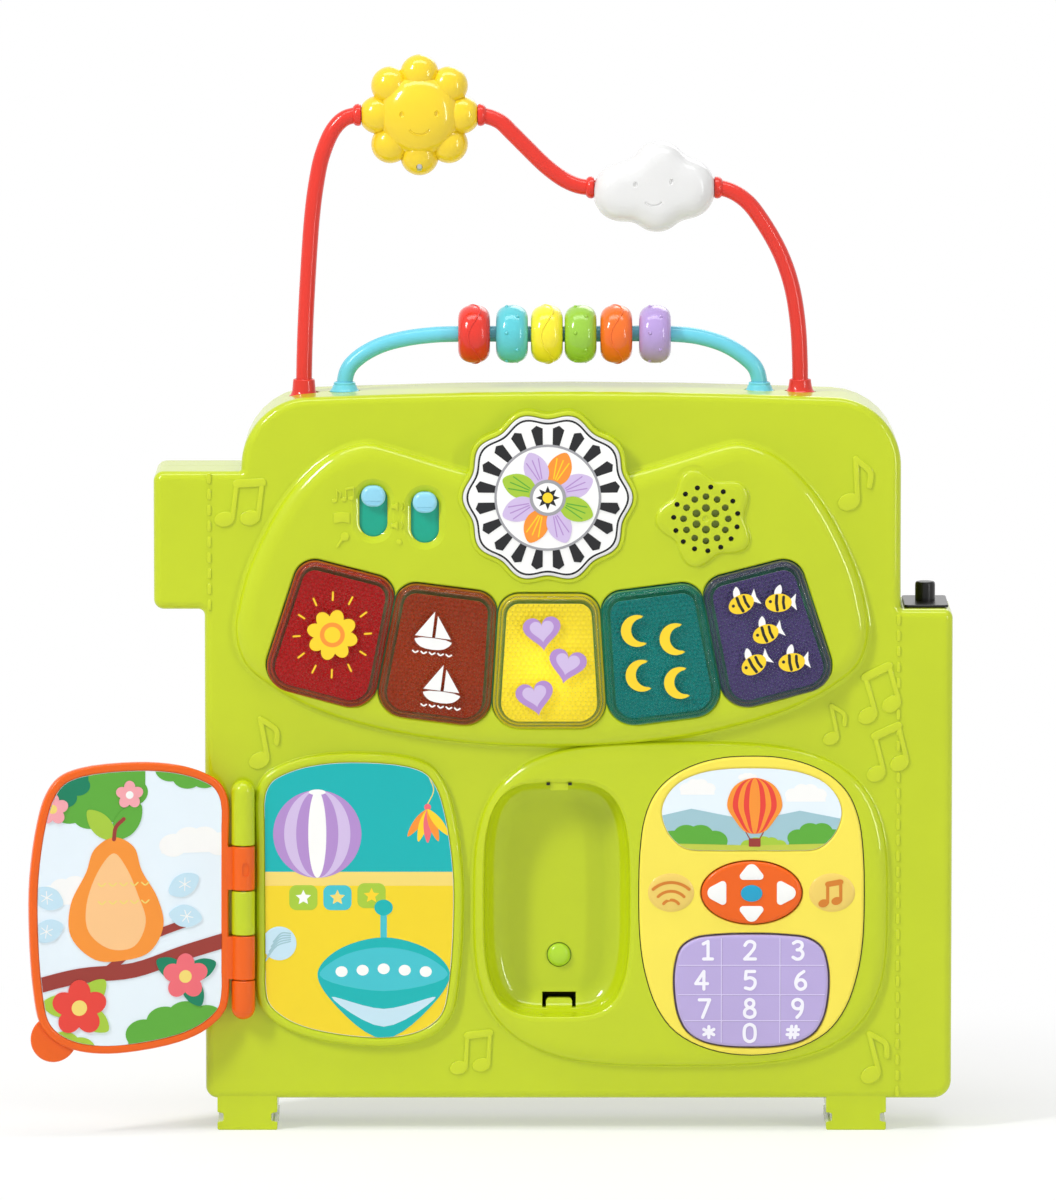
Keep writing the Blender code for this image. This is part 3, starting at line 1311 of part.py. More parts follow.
def keys():
    """Five keys: a tinted lens, open behind, and the patterned plate inside it."""
    roof = KEY_FRONT - KEY_WALL
    plate_front = roof - SEAT_GAP
    lug_front = KEY_ROOF - SEAT_GAP
    half = KEY_HEIGHT / 2
    for index in range(KEY_COUNT):
        across, up, angle = key_place(index)
        hold = frame_empty(
            f"key_{index + 1}_frame", FRONT, (across, up, KEY_ISLAND_FRONT), (0, 0, angle))
        shift = KEY_ISLAND_FRONT
        tint, colour = KEY_TINTS[index]
        lens = slab(
            f"key_{index + 1}_lens", key_outline(), KEY_BACK - shift, KEY_FRONT - shift,
            front=KEY_EDGE, parent=hold, paint=material(f"{tint}_lens", colour, 0.05, 0.0, 0.6))
        lugs = joined(f"key_{index + 1}_lugs", [
            block_mesh(
                "lug",
                (-KEY_LUG_WIDTH / 2, sign * (half - KEY_WALL / 2 + reach / 2) - reach / 2,
                 lug_front - KEY_LUG_THICKNESS - shift),
                (KEY_LUG_WIDTH / 2, sign * (half - KEY_WALL / 2 + reach / 2) + reach / 2,
                 lug_front - shift))
            for sign in (-1, 1) for reach in (KEY_LUG_REACH + KEY_WALL / 2,)], parent=hold)
        hollow = slab(
            f"key_{index + 1}_hollow", key_outline(KEY_WALL), KEY_BACK - shift - OVERRUN,
            roof - shift, parent=hold)
        add(lens, lugs)
        cut(lens, hollow)
        slab(
            f"key_{index + 1}_plate", key_outline(KEY_PLATE_INSET),
            plate_front - KEY_PLATE_THICKNESS - shift, plate_front - shift, parent=hold,
            paint=material(f"{tint}_plate", colour, 0.3))


def switches(knob_paint, plate_paint):
    """Two slide switches: a knob in its slot, and a plate behind that keeps the slot shut."""
    plate_front = KEY_ROOF - SEAT_GAP
    rise = (SWITCH_SLOT_HEIGHT - SWITCH_KNOB_HEIGHT) / 2 - PAD_CLEARANCE
    above = SWITCH_TRAVEL - rise + SWITCH_SLOT_HEIGHT / 2 + SWITCH_PLATE_LAP
    below = rise + SWITCH_SLOT_HEIGHT / 2 + SWITCH_PLATE_LAP
    for name, (across, up) in zip(("mode", "volume"), SWITCH_PLACES):
        slab(
            f"{name}_switch_knob", box_outline(
                across, up + rise, SWITCH_KNOB_WIDTH, SWITCH_KNOB_HEIGHT,
                SWITCH_KNOB_HEIGHT * 0.45),
            plate_front + SEAT_GAP, KEY_ISLAND_FRONT + SWITCH_KNOB_RISE, front=PAD_EDGE, steps=1,
            paint=knob_paint)
        slab(
            f"{name}_switch_plate", slot_outline(
                across, up + rise + (above - below) / 2,
                SWITCH_SLOT_WIDTH + 2 * SWITCH_PLATE_LAP, above + below),
            plate_front - SWITCH_PLATE_THICKNESS, plate_front, paint=plate_paint)


def hook_button(paint):
    floor = CRADLE_FLOOR - WALL - PAD_CLEARANCE
    crown = CRADLE_FLOOR + HOOK_RISE
    profile = (
        (0, crown), (HOOK_RADIUS * 0.6, crown - HOOK_RISE * 0.2),
        (HOOK_RADIUS * 0.93, crown - HOOK_RISE * 0.6), (HOOK_RADIUS, CRADLE_FLOOR),
        (HOOK_RADIUS, floor), (HOOK_RADIUS + HOOK_FLANGE, floor),
        (HOOK_RADIUS + HOOK_FLANGE, floor - HOOK_FLANGE_THICKNESS),
        (0, floor - HOOK_FLANGE_THICKNESS))
    turned("hook_button", profile, paint, BARREL_STEPS, place=(HOOK_ACROSS, HOOK_UP, 0))


# The picture door, drawn closed about its hinge axis and then swung open
def door(paint, card_paint):
    swing = frame_empty(
        "door_swing", FRONT, (HINGE_ACROSS, 0, HINGE_OUT), (0, -DOOR_OPEN_ANGLE, 0))
    back = DOOR_BACK - HINGE_OUT
    front = back + DOOR_THICKNESS
    frame = slab(
        "door_frame", side_shape(DOOR_START, DOOR_BOTTOM, DOOR_WIDTH, DOOR_HEIGHT), back, front,
        front=DOOR_EDGE, back=DOOR_EDGE, steps=1, parent=swing, paint=paint)
    lift_across = DOOR_START + DOOR_WIDTH * LIFT_REACH_SHARE
    lift_up = DOOR_BOTTOM + DOOR_HEIGHT * LIFT_UP_SHARE
    lift = slab(
        "door_lift", superellipse(
            lift_across, lift_up, LIFT_RADIUS, LIFT_RADIUS, 2, ROUND_STEPS),
        front - DOOR_THICKNESS / 2, front - DOOR_THICKNESS / 10, steps=1, parent=swing)
    webs = joined("door_webs", [
        block_mesh(
            "web", (0, low + KNUCKLE_GAP / 2, back + FACET),
            (DOOR_START + DOOR_EDGE, high - KNUCKLE_GAP / 2, front - FACET))
        for low, high in door_knuckle_spans()], parent=swing)
    barrels = joined("door_barrels", [
        rod_mesh("barrel", HINGE_RADIUS, (0, low, 0), (0, high, 0), BARREL_STEPS)
        for low, high in door_knuckle_spans()], parent=swing)
    recess = slab(
        "door_recess", door_card_outline(-SEAT_GAP), back - OVERRUN, back + DOOR_RECESS,
        parent=swing)
    bore = rod(
        "door_bore", HINGE_BORE, (0, 0, 0), (0, TOP_KNUCKLE_TOP, 0), SMALL_STEPS, parent=swing)
    add(frame, lift, webs, barrels)
    cut(frame, recess, bore)
    card_front = back + DOOR_RECESS - SEAT_GAP
    slab(
        "door_picture_card", door_card_outline(), card_front - CARD_THICKNESS, card_front,
        parent=swing, paint=card_paint)


def door_card_outline(inset=0.0):
    return side_shape(
        DOOR_START, DOOR_BOTTOM, DOOR_WIDTH, DOOR_HEIGHT, DOOR_BORDER + inset)


def hinge_pin_and_cap(steel, paint):
    cap_top = door_knuckle_spans()[1][0] - KNUCKLE_GAP
    cap = barrel_with_dome(
        "door_hinge_cap", HINGE_RADIUS, CAP_LENGTH - HINGE_RADIUS, PIN_CAP_DEPTH, paint, True)
    cap.location = (HINGE_ACROSS, cap_top, HINGE_OUT)
    pin_low = cap_top - PIN_CAP_DEPTH + SEAT_GAP
    pin_high = fixed_knuckle_spans()[0][1] - SEAT_GAP
    rod("door_hinge_pin", HINGE_PIN_RADIUS, (HINGE_ACROSS, pin_low, HINGE_OUT),
        (HINGE_ACROSS, pin_high, HINGE_OUT), paint=steel)


# Wires
def wire(name, route, steps, collars, paint):
    """A tube along a smooth curve through the route; its radius swells at the collars."""
    points = []
    for i in range(len(route) - 1):
        four = [Vector(route[min(max(i + k - 1, 0), len(route) - 1)]) for k in range(4)]
        for k in range(steps):
            t = k / steps
            points.append(
                (2 * four[1] + (four[2] - four[0]) * t
                 + (2 * four[0] - 5 * four[1] + 4 * four[2] - four[3]) * t * t
                 + (3 * four[1] - four[0] - 3 * four[2] + four[3]) * t ** 3) / 2)
    points.append(Vector(route[-1]))
    kept = [points[0]]
    for i in range(1, len(points) - 1):
        turn = (points[i] - kept[-1]).angle(points[i + 1] - points[i])
        wanted = any((points[i] - Vector(place)).length < FACET for place in route)
        if turn > WIRE_TURN or wanted:
            kept.append(points[i])
    kept.append(points[-1])
    points = []
    shares = []
    for i, point in enumerate(kept):
        if not any((point - Vector(collar)).length < FACET for collar in collars):
            points.append(point)
            shares.append(1.0)
            continue
        for near, reach, share in COLLAR_SHARES:
            way = (kept[i + near] - point).normalized()
            points.append(point + way * COLLAR_HALF * reach)
            shares.append(share)
    curve = bpy.data.curves.new(name, "CURVE")
    curve.dimensions = "3D"
    curve.bevel_depth = WIRE_RADIUS
    curve.bevel_resolution = 2
    curve.use_fill_caps = True
    spline = curve.splines.new("POLY")
    spline.points.add(len(points) - 1)
    for point, place, share in zip(spline.points, points, shares):
        point.co = (place.x, place.y, 0, 1)
        point.radius = share
    mesh = curve_to_mesh(curve)
    return finish_object(name, mesh, FRONT, paint)


def wire_end(side, across, seats):
    sign = 1 if side else -1
    return (sign * across, seats[side] - WIRE_SOCKET_DEPTH + SEAT_GAP)


def over_panel(*points):
    return [(across, PANEL_TOP + rise) for across, rise in points]


def red_wire(paint):
    """The route is read off the photo, in metres across and over the panel's top."""
    off = COLLAR_HALF + COLLAR_GAP
    sun_left = (SUN_ACROSS - SUN_HALF_LENGTH - off, SUN_UP)
    sun_right = (SUN_ACROSS + SUN_HALF_LENGTH + off, SUN_UP)
    cloud_left = (CLOUD_ACROSS - CLOUD_HALF_LENGTH - off, CLOUD_UP)
    cloud_right = (CLOUD_ACROSS + CLOUD_HALF_LENGTH + off, CLOUD_UP)
    route = [
        wire_end(0, RED_FOOT_ACROSS, RED_SEATS),
        *over_panel(
            (-0.1238, -0.0047), (-0.1234, 0.0173), (-0.1220, 0.0482), (-0.1195, 0.0839),
            (-0.1173, 0.1005), (-0.1145, 0.1135), (-0.1090, 0.1263), (-0.1035, 0.1319)),
        sun_left, (-0.0900, SUN_UP), (-0.0660, SUN_UP), (-0.0420, SUN_UP), sun_right,
        *over_panel(
            (-0.0265, 0.1308), (-0.0200, 0.1248), (-0.0130, 0.1178), (-0.0030, 0.1081),
            (0.0060, 0.1015), (0.0130, 0.0985)),
        cloud_left, (0.0300, CLOUD_UP), (0.0510, CLOUD_UP), (0.0720, CLOUD_UP), cloud_right,
        *over_panel(
            (0.0890, 0.0959), (0.0970, 0.0906), (0.1050, 0.0803), (0.1140, 0.0642),
            (0.1195, 0.0481), (0.1225, 0.0300), (0.1236, 0.0119), (0.1238, -0.0047)),
        wire_end(1, RED_FOOT_ACROSS, RED_SEATS)]
    collars = (sun_left, sun_right, cloud_left, cloud_right)
    return wire("red_wire", route, 2, collars, paint)


def blue_wire(paint):
    """The route, across and over the panel's top; it is straight at the beads."""
    route = [
        wire_end(0, BLUE_FOOT_ACROSS, BLUE_SEATS),
        *over_panel(
            (-0.1035, -0.0067), (-0.1034, 0.0008), (-0.1014, 0.0073), (-0.0960, 0.0129),
            (-0.0860, 0.0185), (-0.0735, 0.0220), (-0.0600, 0.0238)),
        (-0.0490, BEAD_AXIS_UP), (0.0060, BEAD_AXIS_UP), (0.0610, BEAD_AXIS_UP),
        *over_panel(
            (0.0740, 0.0228), (0.0865, 0.0188), (0.0958, 0.0130), (0.1014, 0.0073),
            (0.1034, 0.0008), (0.1035, -0.0067)),
        wire_end(1, BLUE_FOOT_ACROSS, BLUE_SEATS)]
    return wire("blue_wire", route, 2, (), paint)


def ferrules(red, blue):
    """Flared feet that cover the holes where the wires go in."""
    inner = WIRE_RADIUS + WIRE_CLEARANCE
    sets = (
        ("red", RED_FOOT_ACROSS, RED_SEATS, RED_FERRULE_TOP, red),
        ("blue", BLUE_FOOT_ACROSS, BLUE_SEATS, BLUE_FERRULE_TOP, blue))
    for colour, across, seats, top, paint in sets:
        for side, sign, seat in (("left", -1, seats[0]), ("right", 1, seats[1])):
            height = top - seat
            profile = (
                (inner, height), (FERRULE_TOP_RADIUS, height),
                (FERRULE_TOP_RADIUS, FERRULE_FLARE), (FERRULE_BASE_RADIUS, FERRULE_LIP),
                (FERRULE_BASE_RADIUS, 0), (inner, 0))
            turned(
                f"{colour}_ferrule_{side}", profile, paint, SMALL_STEPS, closed=True,
                place=(sign * across, seat + SEAT_GAP, 0), turn=(-math.pi / 2, 0, 0))


def beads():
    half = BEAD_WIDTH / 2
    side = [(BEAD_BORE, half * 0.86), (BEAD_BORE * 1.35, half)]
    upper = side + [(BEAD_RADIUS * r, half * h) for r, h in BEAD_SHARES]
    profile = upper + [(radius, -height) for radius, height in reversed(upper)]
    for (name, colour), across in zip(BEAD_COLOURS, BEAD_PLACES):
        turned(
            f"bead_{name}", profile, material(f"bead_{name}", colour, 0.3), BEAD_STEPS, closed=True,
            place=(across, BEAD_AXIS_UP, 0), turn=(0, math.pi / 2, 0))


# The sun and the cloud, each two shells about the red wire
def rider_solids(name, lobes, half_length, place, paint, lobe_steps):
    """Union of balls, cut flat at both ends, hollow, bored for the wire, split at its middle."""
    halves = []
    axle = WIRE_RADIUS + AXLE_CLEARANCE
    hub = axle + HUB_WALL
    for side, sign in (("front", 1), ("back", -1)):
        centre, radii = lobes[0]
        shell = finish_object(
            f"{name}_{side}", ball_mesh(name, centre, radii, 16, 8, LOBE_TWIST), FRONT, paint,
            place)
        for k, (middle, size) in enumerate(lobes[1:]):
            lobe = finish_object(
                f"{name}_{side}_lobe_{k + 1}", ball_mesh(
                    "lobe", middle, size, lobe_steps, 6, LOBE_TWIST * (k + 2)), FRONT,
                None, place)
            add(shell, lobe)
        hollow = finish_object(
            f"{name}_{side}_hollow", ball_mesh(
                "hollow", centre, [size - SHELL_WALL for size in radii], SMALL_STEPS, GRILLE_STEPS),
            FRONT, None, place)
        cut(shell, hollow)
        tube = finish_object(
            f"{name}_{side}_hub", rod_mesh(
                "hub", hub, (-half_length + SHELL_WALL, 0, 0), (half_length - SHELL_WALL, 0, 0)),
            FRONT, None, place)
        add(shell, tube)
        bore = finish_object(
            f"{name}_{side}_bore", rod_mesh(
                "bore", axle, (-half_length - OVERRUN, 0, 0), (half_length + OVERRUN, 0, 0)),
            FRONT, None, place)
        far = half_length + 2 * OVERRUN
        trims = joined(f"{name}_{side}_trims", [
            block_mesh("trim", (half_length, -far, -far), (far + OVERRUN, far, far)),
            block_mesh("trim", (-far - OVERRUN, -far, -far), (-half_length, far, far))])
        trims.location = place
        plane = SEAT_GAP / 2
        low = (-far, -far, -far) if sign > 0 else (-far, -far, -plane)
        high = (far, far, plane) if sign > 0 else (far, far, far)
        parting = finish_object(
            f"{name}_{side}_parting", block_mesh("parting", low, high), FRONT, None, place)
        cut(shell, bore, trims, parting)
        halves.append(shell)
    return halves


def sun(paint, steel):
    lobes = [((0, 0, 0), (SUN_RADIUS, SUN_RADIUS, SUN_DEPTH))]
    for k in range(SUN_LOBES):
        angle = 2 * math.pi * k / SUN_LOBES
        middle = (SUN_LOBE_ORBIT * math.cos(angle), SUN_LOBE_ORBIT * math.sin(angle), 0)
        lobes.append((middle, (SUN_LOBE_RADIUS, SUN_LOBE_RADIUS, SUN_LOBE_DEPTH)))
    place = (SUN_ACROSS, SUN_UP, 0)
    front, back = rider_solids("sun", lobes, SUN_HALF_LENGTH, place, paint, 8)
    hole = SCREW_SHANK + SCREW_CLEARANCE
    down = -SUN_LOBE_ORBIT - SUN_LOBE_RADIUS / 2
    seat = SUN_LOBE_DEPTH - SCREW_HEAD_HEIGHT - SHELL_WALL
    for shell, end in ((front, OVERRUN), (back, -OVERRUN / 3)):
        pilot = finish_object(
            f"{shell.name}_pilot", rod_mesh(
                "pilot", hole, (0, down, seat - SUN_SCREW_LENGTH), (0, down, OVERRUN),
                HOLE_STEPS),
            FRONT, None, place)
        cut(shell, pilot)
    sink = finish_object(
        "sun_sink", rod_mesh(
            "sink", SUN_SCREW_RADIUS + 2 * SCREW_CLEARANCE, (0, down, seat),
            (0, down, 2 * OVERRUN)),
        FRONT, None, place)
    cut(front, sink)
    length = SUN_SCREW_LENGTH - SHELL_WALL
    profile = (
        (0, length), (SCREW_SHANK, length - SCREW_SHANK), (SCREW_SHANK, SCREW_HEAD_HEIGHT),
        (SUN_SCREW_RADIUS, SCREW_HEAD_HEIGHT), (SUN_SCREW_RADIUS, SCREW_HEAD_HEIGHT / 2),
        (SUN_SCREW_RADIUS / 2, 0), (0, 0))
    head = seat + SCREW_HEAD_HEIGHT + SCREW_CLEARANCE
    turned(
        "sun_screw", profile, steel, 10, place=(SUN_ACROSS, SUN_UP + down, head),
        turn=(math.pi, 0, 0))


def cloud(paint):
    lobes = [((x, y, 0), (radius, radius, deep)) for x, y, radius, deep in CLOUD_LOBES]
    rider_solids("cloud", lobes, CLOUD_HALF_LENGTH, (CLOUD_ACROSS, CLOUD_UP, 0), paint, 12)


def hinge_peg(paint):
    """The black peg that a neighbouring panel's socket drops over, with its plate and stem."""
    half = BLOCK_WIDTH / 2 - INNER_CORNER_RADIUS - SEAT_GAP
    low = BLOCK_TOP + SEAT_GAP
    high = low + PEG_PLATE_THICKNESS
    plate = block(
        "hinge_peg", (PEG_ACROSS - half, low, -PEG_PLATE_DEPTH / 2),
        (PEG_ACROSS + half, high, PEG_PLATE_DEPTH / 2), paint=paint)
    post = rod(
        "peg_post", PEG_RADIUS, (PEG_ACROSS, BLOCK_TOP - PEG_STEM + SEAT_GAP, 0),
        (PEG_ACROSS, high + PEG_HEIGHT - PEG_EDGE, 0), 16)
    tip = finish_object(
        "peg_tip", rod_mesh(
            "peg_tip", PEG_RADIUS, (PEG_ACROSS, high + PEG_HEIGHT - PEG_EDGE - FACET, 0),
            (PEG_ACROSS, high + PEG_HEIGHT, 0), 16, PEG_RADIUS - PEG_EDGE), FRONT)
    add(plate, post, tip)


def build():
    lime = material("lime", LIME)
    red = material("red", RED, 0.3)
    blue = material("blue", BLUE, 0.3)
    orange = material("orange", ORANGE, 0.3)
    steel = material("steel", STEEL, 0.3, 1.0)
    black = material("black", BLACK, 0.4)
    card = material("card", PAPER, 0.5)
    green_board = material("board_green", BOARD_GREEN, 0.5)
    front_housing(lime)
    rear_housing(lime)
    fascia(material("fascia_yellow", FASCIA_YELLOW), card)
    pads(material("lilac", LILAC), orange)
    left_card(card)
    badge(material("white", WHITE, 0.25))
    keys()
    switches(material("sky", SKY, 0.25), material("teal", TEAL))
    hook_button(lime)
    door(orange, card)
    hinge_pin_and_cap(steel, orange)
    red_wire(red)
    blue_wire(blue)
    ferrules(red, blue)
    beads()
    sun(material("yellow", YELLOW, 0.3), steel)
    cloud(material("white", WHITE, 0.25))
    hinge_peg(black)
    speaker(black, lime)
    boards(green_board)
    batteries(material("battery_wrap", BLACK, 0.3))
    battery_door(lime, steel)
    housing_screws(steel)


build()
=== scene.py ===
"""Looks of the musical activity center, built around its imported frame."""

import math

import bmesh
import bpy
from mathutils import Matrix, Vector
from mathutils.bvhtree import BVHTree
from mathutils.geometry import convex_hull_2d


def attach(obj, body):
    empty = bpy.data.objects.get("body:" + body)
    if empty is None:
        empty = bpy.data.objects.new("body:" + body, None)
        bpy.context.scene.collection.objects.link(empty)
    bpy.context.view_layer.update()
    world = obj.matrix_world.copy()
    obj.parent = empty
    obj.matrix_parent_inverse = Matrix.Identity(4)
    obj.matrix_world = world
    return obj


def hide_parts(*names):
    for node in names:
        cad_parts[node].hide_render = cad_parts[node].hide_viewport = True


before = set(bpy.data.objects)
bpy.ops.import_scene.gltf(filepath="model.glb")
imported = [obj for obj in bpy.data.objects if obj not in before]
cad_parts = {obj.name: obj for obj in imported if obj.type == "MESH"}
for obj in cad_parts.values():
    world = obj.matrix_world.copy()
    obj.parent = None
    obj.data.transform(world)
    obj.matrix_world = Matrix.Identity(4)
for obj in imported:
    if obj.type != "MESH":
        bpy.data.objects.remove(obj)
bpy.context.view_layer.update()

# The front frame: across, up and out of the panel in millimetres
MM = 0.001
PANEL = (Matrix.Translation((0.1523, 0.0144, 0)) @ Matrix.Rotation(math.radians(90), 4, "X")
         @ Matrix.Scale(MM, 4))
ALONG_UP = Matrix.Rotation(math.radians(-90), 4, "X")
ALONG_ACROSS = Matrix.Rotation(math.radians(90), 4, "Y")
ALONG_BACK = Matrix.Rotation(math.radians(-90), 4, "Y")
BODY_FRONT = 30.0
KEY_TOP = 37.0
PHONE_TOP = 35.0
BEZEL_TOP = 34.0
DIAL_TOP = 37.68
FACET = 0.02


# Outlines, each a list of points that runs anticlockwise
def quarter(steps):
    """Sine and cosine at equal steps through a quarter turn."""
    turns = [math.pi / 2 * k / steps for k in range(steps + 1)]
    return [(math.sin(turn), math.cos(turn)) for turn in turns]


def around(count, start=0.0):
    """The angles of equal steps round a circle; the first is start steps on."""
    return [2 * math.pi * (k + start) / count for k in range(count)]


def sweep(start, end, steps):
    """Angles from start to end, in degrees, as radians."""
    return [math.radians(start + (end - start) * k / steps) for k in range(steps + 1)]


def polar(across, up, reach, angle, tall=None):
    """The point at a reach from a middle; tall is its upright reach where that differs."""
    return (across + reach * math.cos(angle),
            up + (reach if tall is None else tall) * math.sin(angle))


def offset(points, inset):
    """Move each side of a closed outline inwards by inset."""
    if inset == 0:
        return list(points)
    moved = []
    for i, point in enumerate(points):
        here = Vector(point)
        first = (here - Vector(points[i - 1])).normalized()
        second = (Vector(points[(i + 1) % len(points)]) - here).normalized()
        side = Vector((-first.y, first.x)) + Vector((-second.y, second.x))
        moved.append(tuple(here + side * inset / (1 + first.dot(second))))
    return moved


def rounded(corners):
    """Round the corners (across, up, radius) of a polygon."""
    points = []
    for i, corner in enumerate(corners):
        here = Vector(corner[:2])
        back = (Vector(corners[i - 1][:2]) - here).normalized()
        ahead = (Vector(corners[(i + 1) % len(corners)][:2]) - here).normalized()
        way = 1 if ahead.x * back.y - ahead.y * back.x > 0 else -1
        radius = max(corner[2], 0.2)
        half = back.angle(ahead) / 2
        middle = here + (back + ahead).normalized() * radius / math.sin(half)
        start = here + back * radius / math.tan(half) - middle
        turn = math.pi - 2 * half
        count = max(1, math.ceil(turn / (2 * math.acos(1 - FACET / radius))))
        points += [tuple(middle + Matrix.Rotation(turn * k / count * way, 2) @ start)
                   for k in range(count + 1)]
    return points


def smooth(points, steps, closed=True):
    """Read a centripetal Catmull-Rom curve through the points."""
    made = []
    count = len(points)
    for i in range(count if closed else count - 1):
        if closed:
            four = [Vector(points[(i + k - 1) % count]) for k in range(4)]
        else:
            four = [Vector(points[min(max(i + k - 1, 0), count - 1)]) for k in range(4)]
            if i == 0:
                four[0] = four[1] * 2 - four[2]
            if i == count - 2:
                four[3] = four[2] * 2 - four[1]
        knots = [0.0]
        for first, second in zip(four, four[1:]):
            knots.append(knots[-1] + max(math.sqrt((second - first).length), 0.001))
        for k in range(steps):
            t = knots[1] + (knots[2] - knots[1]) * k / steps
            level = four
            for span in (1, 2):
                level = [
                    (level[j] * (knots[j + span] - t) + level[j + 1] * (t - knots[j]))
                    / (knots[j + span] - knots[j]) for j in range(len(level) - 1)]
            weight = (t - knots[1]) / (knots[2] - knots[1])
            made.append(tuple(level[0] * (1 - weight) + level[1] * weight))
    if not closed:
        made.append(tuple(Vector(points[-1])))
    return made


def upright_shape(shares, across, top, half_width, height):
    """A symmetric shape whose right half is given as shares measured down from its top."""
    both = [(-x, y) for x, y in shares] + [share for share in reversed(shares) if share[0] > 0]
    return smooth([(across + x * half_width, top - y * height) for x, y in both], 4)


def side_shape(left, bottom, width, height):
    return smooth([(left + x * width, bottom + y * height) for x, y in BEZEL_SHARES], 4)


def superellipse(across, up, half_width, half_height, power=2.0, count=96):
    points = []
    for angle in around(count):
        c, s = math.cos(angle), math.sin(angle)
        points.append((across + math.copysign(abs(c) ** (2 / power), c) * half_width,
                       up + math.copysign(abs(s) ** (2 / power), s) * half_height))
    return points


def waved(across, up, radius, wave, lobes, turn=0.0, count=120):
    return [polar(across, up, radius + wave * math.cos(lobes * (angle - turn)), angle)
            for angle in around(count)]


def box_outline(across, up, width, height, radius):
    x, y = width / 2, height / 2
    radius = min(radius, x - 0.05, y - 0.05)
    return rounded([
        (across + cx, up + cy, radius) for cx, cy in ((-x, -y), (x, -y), (x, y), (-x, y))])


def placed(outline, across, up, angle):
    turn = Matrix.Rotation(angle, 2)
    return [tuple(turn @ Vector(point) + Vector((across, up))) for point in outline]


def stroke(points, width, ends=8):
    """The outline of a round-ended line."""
    points = [Vector(point[:2]) for point in points]
    left, right = [], []
    for i, point in enumerate(points):
        way = (points[min(i + 1, len(points) - 1)] - points[max(i - 1, 0)]).normalized()
        side = Vector((-way.y, way.x)) * width / 2
        left.append(point + side)
        right.append(point - side)
    caps = [[middle + Matrix.Rotation(math.pi * k / ends, 2) @ (start - middle)
             for k in range(1, ends)]
            for middle, start in ((points[-1], right[-1]), (points[0], left[0]))]
    return [tuple(point) for point in (*right, *caps[0], *reversed(left), *caps[1])]


def oval(across, up, half_width, half_height=None, turn=0.0, count=32):
    points = superellipse(0, 0, half_width, half_height or half_width, 2.0, count)
    return placed(points, across, up, turn)


def star(across, up, reach, inner, arms=5):
    return [polar(across, up, inner if k % 2 else reach, math.pi / 2 + math.pi * k / arms)
            for k in range(2 * arms)]


def petal(across, up, length, width, angle):
    """A leaf or petal that starts at a point and runs out at an angle."""
    points = [(0, 0), (length * 0.3, -width * 0.42), (length * 0.7, -width * 0.4), (length, 0),
              (length * 0.7, width * 0.4), (length * 0.3, width * 0.42)]
    return placed(smooth(points, 5), across, up, angle)


def heart(up, size):
    points = []
    for t in around(40):
        y = 13 * math.cos(t) - 5 * math.cos(2 * t) - 2 * math.cos(3 * t) - math.cos(4 * t)
        points.append((-size * math.sin(t) ** 3, up + y * size / 16))
    return points


# Solids
def capped(shape, *rims):
    """Close open rims and turn every face outwards."""
    for rim in rims:
        bmesh.ops.contextual_create(shape, geom=rim)
    bmesh.ops.recalc_face_normals(shape, faces=shape.faces)
    return shape


def everything(shape):
    return [*shape.verts, *shape.edges, *shape.faces]


def open_rim(shape):
    return [edge for edge in shape.edges if edge.is_boundary]


def lofted(points, levels):
    """Bridge copies of an outline, each (inset, height), and close both ends."""
    shape = bmesh.new()
    rings = []
    for inset, height in levels:
        corners = [shape.verts.new((x, y, height)) for x, y in offset(points, inset)]
        rings.append([shape.edges.new((corners[i - 1], corners[i])) for i in range(len(corners))])
        if len(rings) > 1:
            bmesh.ops.bridge_loops(shape, edges=rings[-2] + rings[-1])
    return capped(shape, rings[0], rings[-1])


def shoulder(across, high, drop, steps=6):
    """Levels of a rounded front edge that is across wide and drop deep."""
    return [(across * (1 - c), high - drop * (1 - s)) for s, c in quarter(steps)]


def foot_curve(reach, low, rise, steps=4):
    """Levels of the rounded edge or hollow curve where a form starts."""
    return [(reach * (1 - s), low + rise * (1 - c)) for s, c in quarter(steps)]


def flare(reach, low, rise):
    """Levels of the hollow curve where a raised form grows out of the face below it."""
    return foot_curve(-reach, low, rise)[:-1]


def slab(points, low, high, front=0.0, back=0.0, steps=5):
    lower = foot_curve(back, low, back, steps) if back > 0 else [(0, low)]
    upper = shoulder(front, high, front, steps) if front > 0 else [(0, high)]
    return lofted(points, lower + upper)


def rod(radius, start, end, steps=32):
    start, end = Vector(start), Vector(end)
    shape = bmesh.new()
    bmesh.ops.create_cone(
        shape, cap_ends=True, segments=steps, radius1=radius, radius2=radius,
        depth=(end - start).length)
    turn = (end - start).to_track_quat("Z", "Y").to_matrix().to_4x4()
    place = Matrix.Translation((start + end) / 2) @ turn
    bmesh.ops.transform(shape, matrix=place, verts=shape.verts)
    return shape


def ball(centre, radii, across=48, up=24, turn=0.0):
    shape = bmesh.new()
    bmesh.ops.create_uvsphere(shape, u_segments=across, v_segments=up, radius=1)
    spin = Matrix.Rotation(turn, 3, "Z")
    bmesh.ops.rotate(shape, cent=(0, 0, 0), matrix=spin, verts=shape.verts)
    bmesh.ops.scale(shape, vec=radii, verts=shape.verts)
    bmesh.ops.translate(shape, vec=centre, verts=shape.verts)
    return shape


def block(low, high):
    shape = bmesh.new()
    bmesh.ops.create_cube(shape, size=1)
    bmesh.ops.scale(shape, vec=Vector(high) - Vector(low), verts=shape.verts)
    bmesh.ops.translate(shape, vec=(Vector(low) + Vector(high)) / 2, verts=shape.verts)
    return shape


